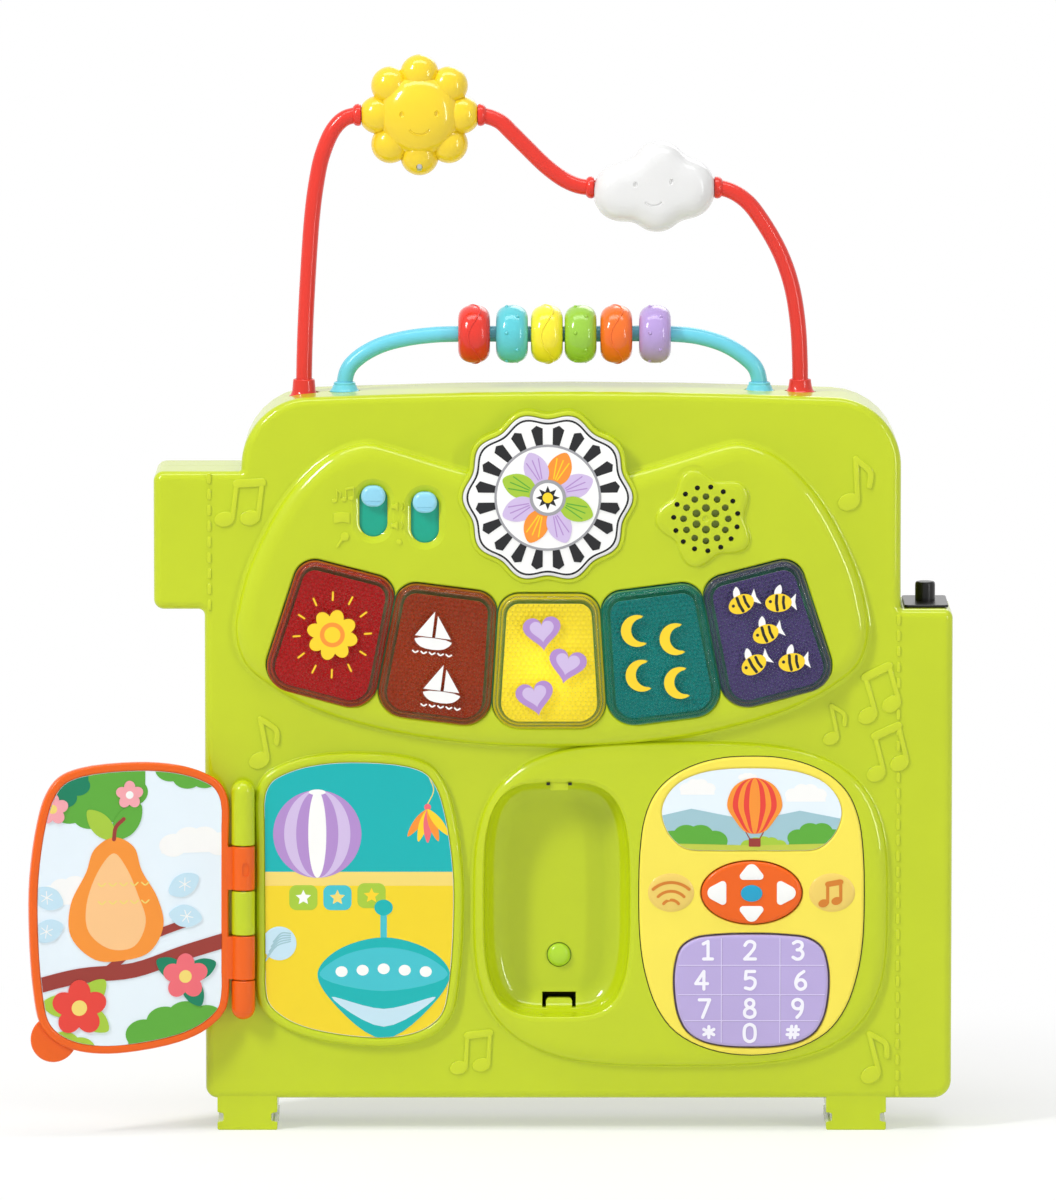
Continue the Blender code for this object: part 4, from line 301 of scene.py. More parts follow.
def turned(profile, steps=48, closed=False, place=(0, 0, 0), along=Matrix.Identity(4)):
    """Spin a profile of (radius, height) about its axis."""
    shape = bmesh.new()
    corners = [shape.verts.new((radius, 0, height)) for radius, height in profile]
    edges = [shape.edges.new(pair) for pair in zip(corners, corners[1:])]
    if closed:
        edges.append(shape.edges.new((corners[-1], corners[0])))
    bmesh.ops.spin(
        shape, geom=corners + edges, cent=(0, 0, 0), axis=(0, 0, 1), angle=2 * math.pi,
        steps=steps, use_merge=True)
    bmesh.ops.remove_doubles(shape, verts=shape.verts, dist=0.0005)
    bmesh.ops.transform(capped(shape), matrix=Matrix.Translation(place) @ along, verts=shape.verts)
    return shape


def together(*shapes):
    """One mesh from several; the others are used up."""
    first = shapes[0]
    for shape in shapes[1:]:
        mesh = bpy.data.meshes.new("copy")
        shape.to_mesh(mesh)
        first.from_mesh(mesh)
        shape.free()
        bpy.data.meshes.remove(mesh)
    return first


def shown(name, data):
    """A linked object of some data."""
    made = bpy.data.objects.new(name, data)
    bpy.context.scene.collection.objects.link(made)
    return made


def loose(shape, name="solid"):
    mesh = bpy.data.meshes.new(name)
    shape.to_mesh(mesh)
    shape.free()
    return shown(name, mesh)


def settled(base, tools=()):
    """The shape that an object's modifiers or bevel leave; the object and its tools go."""
    depsgraph = bpy.context.evaluated_depsgraph_get()
    mesh = bpy.data.meshes.new_from_object(base.evaluated_get(depsgraph))
    result = bmesh.new()
    result.from_mesh(mesh)
    bpy.data.meshes.remove(mesh)
    for item in (base, *tools):
        data = item.data
        bpy.data.objects.remove(item, do_unlink=True)
        if isinstance(data, bpy.types.Mesh):
            bpy.data.meshes.remove(data)
    return result


def carved(shape, *steps):
    """Apply (operation, solid) pairs in order and return the new shape."""
    base = loose(shape)
    tools = []
    for operation, tool in steps:
        tools.append(loose(tool))
        step = base.modifiers.new("step", "BOOLEAN")
        step.operation = operation
        step.solver = "EXACT"
        step.object = tools[-1]
    return settled(base, tools)


def add(*shapes):
    return [("UNION", shape) for shape in shapes]


def cut(*shapes):
    return [("DIFFERENCE", shape) for shape in shapes]


def tube(points, radius, sides, closed=False):
    """A round tube through the points."""
    curve = bpy.data.curves.new("tube", "CURVE")
    curve.dimensions = "3D"
    curve.bevel_depth = radius
    curve.bevel_resolution = sides
    curve.use_fill_caps = not closed
    spline = curve.splines.new("POLY")
    spline.points.add(len(points) - 1)
    spline.use_cyclic_u = closed
    for spot, place in zip(spline.points, points):
        spot.co = (*place, 1)
    shape = settled(shown("tube", curve))
    bmesh.ops.remove_doubles(shape, verts=shape.verts, dist=0.001)
    return capped(shape)


def piece(name, shape, paints, body, replaces=(), place=PANEL, sharp=32.0,
          even=False):
    """Finish a shape as a piece that rides on a body."""
    bmesh.ops.transform(shape, matrix=place, verts=shape.verts)
    made = loose(shape, name)
    for paint in paints if isinstance(paints, list) else [paints]:
        made.data.materials.append(paint)
    made.data.shade_smooth()
    made.data.set_sharp_from_angle(angle=math.radians(sharp))
    if even:
        made.modifiers.new("weighted", "WEIGHTED_NORMAL").keep_sharp = True
    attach(made, body)
    if replaces:
        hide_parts(*replaces)


# Nodes
def feed(tree, made, feeds):
    """Set a node's inputs, each to a value or to the output that feeds it."""
    for key, value in feeds.items():
        if isinstance(value, bpy.types.NodeSocket):
            tree.links.new(value, made.inputs[key])
        else:
            made.inputs[key].default_value = value


def node(tree, kind, feeds, **settings):
    made = tree.nodes.new(f"ShaderNode{kind}")
    for name, value in settings.items():
        setattr(made, name, value)
    feed(tree, made, feeds)
    return made


def maths(tree, operation, *values, **settings):
    feeds = dict(enumerate(values))
    return node(tree, "Math", feeds, operation=operation, **settings).outputs[0]


def fading(tree, middle, span, near, far):
    """A value that goes softly from near to far over a span of distances from a point."""
    where = node(tree, "TexCoord", {}).outputs["Object"]
    centred = node(tree, "Mapping", {"Vector": where, "Location": middle}, vector_type="TEXTURE")
    distance = node(tree, "VectorMath", {0: centred.outputs[0]}, operation="LENGTH")
    return node(tree, "MapRange", {
        "Value": distance.outputs["Value"], "From Min": span[0], "From Max": span[1],
        "To Min": near, "To Max": far}, interpolation_type="SMOOTHSTEP").outputs["Result"]


def sight_rays(tree):
    """One for a ray that comes from the camera, straight or by way of a mirror or glass."""
    path = node(tree, "LightPath", {}).outputs
    both = maths(tree, "ADD", path["Is Camera Ray"], path["Is Glossy Ray"], use_clamp=True)
    return maths(tree, "ADD", both, path["Is Transmission Ray"], use_clamp=True)


def seen_as(tree, share, usual, seen, end):
    """Show one shader to the share of rays that see it and another to the rest."""
    mixed = node(tree, "MixShader", {0: share, 1: usual.outputs[0], 2: seen.outputs[0]})
    feed(tree, tree.nodes[end], {0: mixed.outputs[0]})


# Materials
def moulded_group():
    """Slight mottling and orange peel of a moulded or printed surface."""
    group = bpy.data.node_groups.new("moulded_surface", "ShaderNodeTree")
    for way, names in (("INPUT", ("Colour", "Shade", "Mottle", "Peel", "Roughness")),
                       ("OUTPUT", ("Colour", "Roughness", "Height"))):
        for name in names:
            kind = "NodeSocketColor" if name == "Colour" else "NodeSocketFloat"
            group.interface.new_socket(name, in_out=way, socket_type=kind)
    given = group.nodes.new("NodeGroupInput").outputs
    where = node(group, "TexCoord", {}).outputs["Object"]
    broad = node(group, "TexNoise", {"Vector": where, "Scale": 22.0, "Detail": 3.0})
    fine = node(group, "TexNoise", {"Vector": where, "Scale": given["Peel"], "Detail": 2.0})
    centred = maths(group, "SUBTRACT", broad.outputs["Fac"], 0.5)
    amount = maths(group, "MULTIPLY", centred, given["Mottle"])
    bright = maths(group, "ADD", amount, given["Shade"])
    tinted = node(group, "VectorMath", {}, operation="SCALE")
    feed(group, tinted, {0: given["Colour"], "Scale": bright})
    rough = maths(group, "MULTIPLY_ADD", amount, 0.35, given["Roughness"])
    feed(group, group.nodes.new("NodeGroupOutput"), {
        "Colour": tinted.outputs[0], "Roughness": rough, "Height": fine.outputs["Fac"]})
    return group


MOULDED = moulded_group()


def blank(name):
    """A new material, its tree and its shader."""
    made = bpy.data.materials.new(name)
    made.use_nodes = True
    return made, made.node_tree, made.node_tree.nodes["Principled BSDF"]


def finish(name, colour, roughness=0.3, peel=900.0, bump=0.04, mottle=0.10, coat=0.25,
           metallic=0.0, polish=0.12, sheen=0.2):
    """A plastic, print, paper or metal finish."""
    made, tree, shader = blank(name)
    surface = node(tree, "Group", {
        "Colour": (*colour, 1.0), "Shade": 1.0, "Mottle": mottle, "Peel": peel,
        "Roughness": roughness}, node_tree=MOULDED).outputs
    raised = node(tree, "Bump", {"Strength": bump, "Distance": MM, "Height": surface["Height"]})
    feed(tree, shader, {
        "Base Color": surface["Colour"], "Roughness": surface["Roughness"],
        "Normal": raised.outputs["Normal"], "Metallic": metallic, "Coat Weight": coat,
        "Coat Roughness": polish, "Specular IOR Level": sheen})
    return made


POLISHED = {"bump": 0.02, "coat": 0.7, "polish": 0.06, "sheen": 0.12}
RED = (0.720, 0.032, 0.018)
LIME_PLASTIC = finish("lime_plastic", (0.500, 0.600, 0.006), 0.42, **POLISHED)
# A lighter copy of the body's lime: a painted highlight on the raised notes, stitches and signs.
LIME_PAINTED_HIGHLIGHT = finish("lime_painted_highlight", (0.54, 0.63, 0.012), 0.38, **POLISHED)
HOOK_GREEN = finish("hook_green", (0.42, 0.66, 0.035), 0.28)
RED_PLASTIC = finish("red_plastic", RED, 0.22, coat=0.4)
BLUE_PLASTIC = finish("blue_plastic", (0.150, 0.597, 0.745), 0.25, coat=0.3)
ORANGE_PLASTIC = finish("orange_plastic", (0.800, 0.115, 0.003), 0.28, coat=0.3)
YELLOW_GLOSS = finish("yellow_gloss", (0.84, 0.60, 0.015), 0.22, coat=0.7, polish=0.06)
WHITE_GLOSS = finish("white_gloss", (0.74, 0.74, 0.735), 0.22, coat=0.5)
FASCIA = finish("fascia_yellow", (0.880, 0.740, 0.090), 0.32, coat=0.2)
DOME = finish("icon_dome", (0.80, 0.58, 0.13), 0.32)
KEYPAD_LILAC = finish("keypad_lilac", (0.462, 0.381, 0.686), 0.38, coat=0.15)
# The keypad's grid lines: painted highlight and painted shade of its grooves.
KEYPAD_PAINTED_HIGHLIGHT = finish("keypad_painted_highlight", (0.66, 0.60, 0.84), 0.35)
KEYPAD_PAINTED_SHADE = finish("keypad_painted_shade", (0.30, 0.24, 0.48), 0.5)
DIGIT = finish("digit_white", (0.86, 0.85, 0.94), 0.35)
SWITCH_BLUE = finish("switch_blue", (0.275, 0.631, 0.807), 0.2, coat=0.4)
SWITCH_TEAL = finish("switch_teal", (0.0, 0.371, 0.250), 0.2, coat=0.4)
BLACK_PLASTIC = finish("black_plastic", (0.006, 0.006, 0.006), 0.35)
BARE_STEEL = finish(
    "bright_steel", (0.560, 0.570, 0.580), 0.28, peel=2500.0, coat=0.0, metallic=1.0)
BOARD = finish("circuit_board", (0.02, 0.20, 0.08), 0.4)
CARD = finish("card", (0.80, 0.84, 0.88), 0.5, mottle=0.06)
WRAP = finish("battery_wrap", (0.01, 0.01, 0.012), 0.25)
INKS = {
    "white": (0.88, 0.88, 0.87), "black": (0.010, 0.010, 0.012), "grey": (0.33, 0.33, 0.35),
    "lilac": (0.42, 0.25, 0.58), "pale_lilac": (0.60, 0.48, 0.74), "teal": (0.0, 0.42, 0.43),
    "cyan": (0.05, 0.50, 0.58), "azure": (0.01, 0.33, 0.55), "pale_blue": (0.52, 0.72, 0.84),
    "sky": (0.76, 0.85, 0.92), "floor": (0.83, 0.62, 0.015), "sand": (0.84, 0.65, 0.16),
    "orange": (0.87, 0.28, 0.03), "peach": (0.90, 0.53, 0.24), "red": (0.75, 0.05, 0.035),
    "brown": (0.30, 0.035, 0.025), "pink": (0.80, 0.14, 0.17), "rose": (0.85, 0.36, 0.40),
    "leaf": (0.10, 0.38, 0.035), "deep_leaf": (0.0, 0.20, 0.10), "light_leaf": (0.36, 0.55, 0.04),
    "gold": (0.90, 0.62, 0.02), "hill": (0.33, 0.53, 0.60), "meadow": (0.50, 0.56, 0.06),
    "dusk": (0.62, 0.20, 0.02)}
INK_FINISHES = {}


def ink(name):
    if name not in INK_FINISHES:
        INK_FINISHES[name] = finish(
            f"ink_{name}", INKS[name], 0.32, peel=3000.0, coat=0.35, mottle=0.07)
    return INK_FINISHES[name]


# Flat artwork and small raised forms
class Sketch:
    """Thin closed patches on one face, each a little prouder than the last."""

    def __init__(self, level, step=0.012, sunk=0.1, lift=0.0):
        self.shape = bmesh.new()
        self.level = level
        self.step = step
        self.sunk = sunk
        self.lift = lift
        self.paints = []
        self.count = 0

    def fill(self, points, paint, lift=0.0):
        """A patch of one ink or finish."""
        material = ink(paint) if isinstance(paint, str) else paint
        if material not in self.paints:
            self.paints.append(material)
        self.count += 1
        height = self.level + self.lift + lift + self.count * self.step
        face = self.shape.faces.new([self.shape.verts.new((x, y, height)) for x, y in points])
        face.material_index = self.paints.index(material)

    def ovals(self, *rows):
        """Ovals, each a paint and what oval takes."""
        for paint, *sizes in rows:
            self.fill(oval(*sizes), paint)

    def loop(self, paint, points, steps=6):
        self.fill(smooth(points, steps), paint)

    def line(self, points, width, paint, steps=1):
        """A stroke with round ends along the points, in short runs that never cross themselves."""
        if steps > 1 and points[0] == points[-1]:
            points = smooth(points[:-1], steps)
            points.append(points[0])
        elif steps > 1:
            points = smooth(points, steps, closed=False)
        for start in range(0, len(points) - 1, 6):
            self.fill(stroke(points[start:start + 7], width), paint)

    def bank(self, across, up, width, height, bumps, paint):
        """Round puffs on a flat foot: a cloud or a bush, or a canopy where height is negative."""
        reach = width / bumps * 0.72
        for k in range(bumps):
            share = (k + 0.5) / bumps
            tall = abs(height) * (0.55 + 0.45 * math.sin(math.pi * share))
            middle = across - width / 2 + reach * 0.6 + (width - reach * 1.2) * share
            crown = up + math.copysign(tall - reach * 0.75, height)
            self.fill(oval(middle, crown, reach, reach * 0.8), paint)
            low, high = sorted((0, math.copysign(tall - reach * 0.6, height)))
            self.fill(box_outline(
                middle, up + (low + high) / 2, reach * 1.7, max(high - low, 0.8), 0.3), paint)

    def clip(self, outline):
        """Cut the patches off along the outline, bridging its slight hollows."""
        corners = [
            Vector(outline[i]) for i in convex_hull_2d([Vector(point) for point in outline])]
        middle = sum(corners, Vector((0, 0))) / len(corners)
        for i, point in enumerate(corners):
            side = point - corners[i - 1]
            out = Vector((side.y, -side.x))
            if out.dot(point - middle) < 0:
                out.negate()
            bmesh.ops.bisect_plane(
                self.shape, geom=everything(self.shape), plane_co=(*point, 0), plane_no=(*out, 0),
                clear_outer=True)

    def done(self, name, body, place=PANEL, bevel=0.0):
        made = bmesh.ops.extrude_face_region(self.shape, geom=list(self.shape.faces))
        for item in made["geom"]:
            if isinstance(item, bmesh.types.BMVert):
                item.co.z = self.level - self.sunk
        capped(self.shape)
        if bevel > 0:
            rims = [edge for edge in self.shape.edges
                    if all(vert.co.z > self.level for vert in edge.verts)]
            bmesh.ops.bevel(
                self.shape, geom=rims, offset=bevel, segments=3, profile=0.5, affect="EDGES",
                material=-1, clamp_overlap=True)
        piece(name, self.shape, self.paints, body, (), place)


# The camera and the light
LAMPS = (
    ("key", (-1.7, -1.5, 2.1), (0.35, 0.9), 50.0), ("fill", (2.0, -1.6, 0.7), (0.14, 1.4), 12.0),
    ("top", (0.15, -0.4, 2.1), (2.0, 0.5), 15.0), ("rim", (0.6, 1.6, 1.5), (1.0, 1.0), 8.0))
CAMERA_DISTANCE = 6.0
CAMERA_LIFT = math.radians(6.5)
VIEW_WIDTH = 0.528
SENSOR = 36.0


def pale_floor():
    """A white floor that keeps a soft shadow near the object and fades to plain white."""
    made, tree, shader = blank("pale_floor")
    feed(tree, shader, {
        "Base Color": (0.95, 0.95, 0.95, 1), "Roughness": 0.85, "Specular IOR Level": 0.2})
    fade = fading(tree, (0.14, 0.0, 0.0), (0.10, 0.55), 0.45, 1.0)
    share = maths(tree, "MULTIPLY", sight_rays(tree), fade)
    seen_as(tree, share, shader, node(tree, "Emission", {"Strength": 1.0}), "Material Output")
    return made


def studio():
    scene = bpy.context.scene
    scene.view_settings.view_transform = "Standard"
    scene.camera = camera = shown("camera", bpy.data.cameras.new("camera"))
    camera.location = Vector((0.1403, 0.0144, 0.2635)) + CAMERA_DISTANCE * Vector(
        (0, -math.cos(CAMERA_LIFT), math.sin(CAMERA_LIFT)))
    camera.rotation_euler = (math.pi / 2 - CAMERA_LIFT, 0, 0)
    camera.data.sensor_fit = "HORIZONTAL"
    camera.data.sensor_width = SENSOR
    camera.data.lens = SENSOR * CAMERA_DISTANCE / VIEW_WIDTH
    camera.data.clip_end = 50.0
    scene.world = bpy.data.worlds.new("studio")
    scene.world.use_nodes = True
    tree = scene.world.node_tree
    light = tree.nodes["Background"]
    feed(tree, light, {"Color": (1.0, 1.0, 1.0, 1.0), "Strength": 0.36})
    seen = node(tree, "Background", {"Color": (1.0, 1.0, 1.0, 1.0), "Strength": 1.0})
    seen_as(tree, sight_rays(tree), light, seen, "World Output")
    for name, place, size, power in LAMPS:
        lamp = bpy.data.lights.new(name, "AREA")
        lamp.energy = power
        lamp.shape = "RECTANGLE"
        lamp.size, lamp.size_y = size
        holder = shown(name, lamp)
        holder.location = place
        aim = Vector((0.15, 0.0, 0.25)) - Vector(place)
        holder.rotation_euler = aim.to_track_quat("-Z", "Y").to_euler()
    shape = bmesh.new()
    bmesh.ops.create_grid(shape, x_segments=1, y_segments=1, size=12.0)
    floor = loose(shape, "floor")
    floor.data.materials.append(pale_floor())


# Places and outlines on the panel, in millimetres
HINGE = (-154.0, 0.0, 36.2)
HINGE_RADIUS = 5.9
KNUCKLES_FIXED = ((144.9, 171.5), (99.9, 121.9))
KNUCKLES_DOOR = ((122.4, 144.4), (77.4, 99.4))
SWITCHES = ((-88.8, 312.1), (-63.2, 309.0))
SPEAKER = (76.3, 308.5)
BADGE = (-2.2, 319.0)
DIAL = (99.4, 120.9)
DOMES = (59.3, 139.5)
KEY_ARC = (-1.5, 667.3)
KEY_ARC_RADIUS = 430.0
KEY_PITCH = math.radians(7.25)
KEY_HALF = 33.6
HOOK = (3.5, 86.7)
PEG_ACROSS = 186.5
BEZEL_SHARES = (
    (0.0, 0.188), (0.023, 0.129), (0.11, 0.072), (0.25, 0.03), (0.52, 0.0), (0.686, 0.002),
    (0.805, 0.022), (0.892, 0.058), (0.948, 0.11), (0.98, 0.222), (1.0, 0.43), (0.996, 0.614),
    (0.957, 0.8), (0.914, 0.895), (0.85, 0.954), (0.741, 0.985), (0.457, 1.0), (0.25, 0.986),
    (0.12, 0.957), (0.043, 0.923), (0.0, 0.862), (0.0, 0.7), (0.0, 0.5), (0.0, 0.32))
PANEL_EDGE = rounded((
    (-173.0, 16.0, 6.0), (199.5, 16.0, 9.0), (199.5, 262.0, 4.5), (173.5, 262.0, 1.5),
    (173.5, 366.7, 34.5), (9.5, 372.7, 3000.0), (-154.5, 366.7, 34.5), (-154.5, 331.0, 1.5),
    (-198.2, 331.0, 5.0), (-198.2, 262.0, 5.0), (-173.0, 262.0, 3.0)))
KEY_ISLAND_EDGE = upright_shape((
    (0.0, 0.121), (0.175, 0.111), (0.286, 0.087), (0.41, 0.049), (0.512, 0.016),
    (0.582, 0.0), (0.633, 0.009), (0.706, 0.042), (0.773, 0.098), (0.849, 0.191),
    (0.913, 0.307), (0.964, 0.43), (0.989, 0.53), (1.0, 0.619), (0.973, 0.722),
    (0.894, 0.796), (0.747, 0.878), (0.56, 0.938), (0.379, 0.974), (0.194, 0.994),
    (0.0, 1.0)), 0, 345.4, 157.2, 151.6)
FASCIA_EDGE = upright_shape((
    (0.0, 0.0), (0.25, 0.005), (0.5, 0.028), (0.714, 0.07), (0.857, 0.126), (0.946, 0.205),
    (0.987, 0.309), (1.0, 0.466), (0.987, 0.617), (0.942, 0.725), (0.839, 0.839),
    (0.67, 0.923), (0.375, 0.98), (0.0, 1.0)), DIAL[0], 189.0, 56.0, 150.0)
WINDOW_EDGE = upright_shape((
    (0.0, 0.0), (0.3, 0.01), (0.57, 0.06), (0.8, 0.17), (0.94, 0.33), (1.0, 0.52),
    (0.96, 0.72), (0.86, 0.88), (0.72, 0.98), (0.45, 1.0), (0.0, 1.0)),
    DIAL[0], 183.2, 44.7, 41.2)
KEYPAD_EDGE = upright_shape((
    (0.0, 0.0), (0.45, 0.01), (0.74, 0.04), (0.91, 0.12), (0.98, 0.26), (1.0, 0.42),
    (0.975, 0.62), (0.93, 0.74), (0.83, 0.86), (0.66, 0.94), (0.4, 0.985), (0.0, 1.0)),
    DIAL[0], 99.7, 38.2, 56.3)
PHONE_ISLAND_EDGE = superellipse(64.0, 114.5, 103.3, 81.5, 3.3, 160)
BEZEL_EDGE = side_shape(-147.5, 43.0, 103.0, 147.6)
DOOR_EDGE = side_shape(7.5, 42.5, 101.2, 145.5)
CRADLE_EDGE = superellipse(2.4, 116.8, 36.1, 58.6, 3.6, 120)
PAD_EDGE = superellipse(*DIAL, 25.0, 15.7)
BADGE_EDGE = waved(*BADGE, 40.5, 1.6, 10, 0, 200)
STAR_EDGE = waved(*SPEAKER, 22.0, 3.0, 5, math.radians(110), 150)
KEY_NARROW, KEY_WIDE = [
    (KEY_ARC_RADIUS + way * KEY_HALF) * math.tan(KEY_PITCH / 2) - 0.4 for way in (-1, 1)]
KEY_EDGE = rounded((
    (-KEY_WIDE, -KEY_HALF, 13.5), (KEY_WIDE, -KEY_HALF, 13.5), (KEY_NARROW, KEY_HALF, 10.5),
    (-KEY_NARROW, KEY_HALF, 10.5)))
FOOT_EDGE = rounded((
    (-15, 0, 1), (15, 0, 1), (15, 4, 0.5), (12, 4.6, 0.8), (12, 8.4, 0.8), (15, 9, 0.5),
    (15, 22, 0.5), (-15, 22, 0.5), (-15, 9, 0.5), (-12, 8.4, 0.8), (-12, 4.6, 0.8),
    (-15, 4, 0.5)))
WIRE_FEET = (("red", RED_PLASTIC, 123.8, (365.0, 367.0), 374.3),
             ("blue", BLUE_PLASTIC, 103.5, (367.5, 367.5), 372.8))


def key_place(index):
    angle = (index - 2) * KEY_PITCH
    return (KEY_ARC[0] + KEY_ARC_RADIUS * math.sin(angle),
            KEY_ARC[1] - KEY_ARC_RADIUS * math.cos(angle), angle)


# The front shell
def barrel(low, high, across=0.0, out=0.0, dome=False):
    """An upright hinge barrel, its top flat or domed."""
    radius = HINGE_RADIUS
    profile = [(0, low), (radius - 0.5, low), (radius, low + 0.5)]
    if dome:
        profile += [(radius * c, high + radius * s) for s, c in quarter(8)]
    else:
        profile += [(radius, high - 0.5), (radius - 0.5, high), (0, high)]
    return turned(profile, 40, along=ALONG_UP, place=(across, 0, out))


def front_shell():
    steps = add(
        lofted(KEY_ISLAND_EDGE, [
            *flare(3.4, 29.9, 1.5), (0, 31.4), *shoulder(9.5, KEY_TOP, 5.5, 11)]),
        lofted(PHONE_ISLAND_EDGE, [
            *flare(3.0, 29.9, 1.0), (0, 30.9), *shoulder(8.5, PHONE_TOP, 4.0, 10)]),
        lofted(BEZEL_EDGE, [
            *flare(1.2, 29.9, 0.9), (0, 31.0), *shoulder(2.3, BEZEL_TOP, 2.3, 6)]),
        lofted(offset(BADGE_EDGE, -2.6), [(0, 29.0), *shoulder(1.2, 38.0, 1.2, 4)]),
        lofted(STAR_EDGE, [*flare(2.4, 36.9, 0.5), (0, 37.4), *shoulder(4.2, 39.2, 1.8, 7)]),
        *[slab(placed(FOOT_EDGE, across, 0, 0), -20.0, 28.8, front=0.45)
          for across in (-152.3, 152.0)])
    for index, (low, high) in enumerate(KNUCKLES_FIXED):
        steps += add(
            block((HINGE[0] - 5.6, low + 0.3, 28.0), (HINGE[0] + 5.6, high - 0.3, 36.7)),
            barrel(low, high, HINGE[0], HINGE[2], index == 0))
    steps += cut(
        slab(offset(PANEL_EDGE, 2.5), -30.0, 27.5),
        slab(offset(KEY_ISLAND_EDGE, 1.9), 10.0, 34.5),
        slab(offset(PHONE_ISLAND_EDGE, 2.5), 10.0, 32.5))
    steps += add(
        slab(offset(CRADLE_EDGE, -2.5), 12.5, 32.7, back=12.0, steps=8),
        slab(offset(FASCIA_EDGE, -2.5), 29.5, 32.7))
    steps += cut(
        lofted(CRADLE_EDGE, [
            *foot_curve(13.0, 15.0, 12.0, 13), (-0.1, 33.4), (-0.6, 34.2), (-1.5, 34.7),
            (-2.6, 34.98), (-3.2, 35.6), (-3.2, 45.0)]),
        slab(offset(FASCIA_EDGE, -0.5), 32.0, 45.0),
        lofted(BADGE_EDGE, [(-0.35, 36.4), (-0.35, 37.4), (-0.9, 38.1), (-0.9, 42.0)]),
        lofted(offset(BEZEL_EDGE, 4.5), [
            (0, 32.9), (0, 33.1), (-0.35, 33.5), (-1.0, 33.85), (-1.7, 34.02), (-1.8, 36.0)]),
        slab(offset(KEYPAD_EDGE, -1.0), 20.0, 33.0), slab(offset(PAD_EDGE, -1.0), 20.0, 33.0))
    for place in SWITCHES:
        steps += cut(lofted(box_outline(*place, 14, 25.8, 6.9), [
            (0, 20.0), (0, 35.4), (-0.8, 35.9), (-2.0, 36.4), (-3.2, 36.9), (-3.8, 37.1),
            (-3.8, 40.0)]))
    holes = []
    for count, orbit, radius, turn in (
            (6, 5.4, 2.0, 30.0), (12, 11.1, 1.7, 0.0), (15, 16.0, 1.3, 9.5)):
        for angle in around(count):
            spot = polar(*SPEAKER, orbit, math.radians(turn) + angle)
            holes.append(rod(radius, (*spot, 20.0), (*spot, 45.0), 20))
    holes.append(ball((*SPEAKER, 39.6), (1.9, 1.9, 1.2), 20, 10))
    holes.append(rod(6.2, (*HOOK, 0.0), (*HOOK, 30.0), 40))
    catch = [(-8.4, 60.6), (-6.5, 60.6), (-6.5, 63.6), (-5.9, 64.6), (-5.0, 65.0), (5.0, 65.0),
             (5.9, 64.6), (6.5, 63.6), (6.5, 60.6), (8.4, 60.6), (8.4, 68.0), (-8.4, 68.0)]
    steps += cut(together(*holes), slab([(HOOK[0] + x, y) for x, y in catch], 0.0, 30.0))
    steps += add(block((HOOK[0] - 4.4, 172.0, 25.0), (HOOK[0] + 4.4, 176.5, 33.6)))
    steps += cut(*[
        lofted(placed(offset(KEY_EDGE, -0.6), *key_place(index)), [
            (0, 10.0), (0, 36.3), (-0.4, 36.8), (-1.0, 37.05), (-1.0, 45.0)])
        for index in range(5)])
    for side, sign in enumerate((-1, 1)):
        for _, _, reach, seats, _ in WIRE_FEET:
            steps += cut(rod(
                7.9, (sign * reach, seats[side], 0), (sign * reach, seats[side] + 12, 0), 40))
    steps += cut(
        rod(5.3, (-185.6, 250.0, 0), (-185.6, 274.0, 0)),
        rod(5.4, (PEG_ACROSS, 244.0, 0), (PEG_ACROSS, 268.0, 0)),
        block((-400, -10, -40), (400, 400, 0)))
    shell = lofted(PANEL_EDGE, [(0, -10.0), *shoulder(4.4, BODY_FRONT, 4.2, 8)])
    piece("front_shell", carved(shell, *steps), LIME_PLASTIC, "panel", ["front_housing"],
          even=True)


def note(sketch, across, up, size=1.0, turn=0.0, double=False, paint=LIME_PAINTED_HIGHLIGHT, weight=1.0):
    """A musical note: one or two heads, stems and a beam or flag."""
    first = -5.2 if double else 0
    parts = [oval(first, -8, 4.6, 3.4, 0.3),
             stroke([(first + 3.5, -7.4), (first + 3.5, 9.0)], 2.2 * weight)]
    if double:
        parts += [oval(6.0, -6, 4.6, 3.4, 0.3), stroke([(9.5, -5.4), (9.5, 10.5)], 2.2 * weight),
                  stroke([(-1.7, 8.4), (9.5, 10.4)], 3.8 * weight, 4)]
    else:
        flag = smooth([(3.5, 9.0), (6.8, 6.0), (9.2, 3.0), (8.4, -2.0)], 5, False)
        parts.append(stroke(flag, 2.4 * weight))
    for part in parts:
        sketch.fill(placed([(x * size, y * size) for x, y in part], across, up, turn), paint)


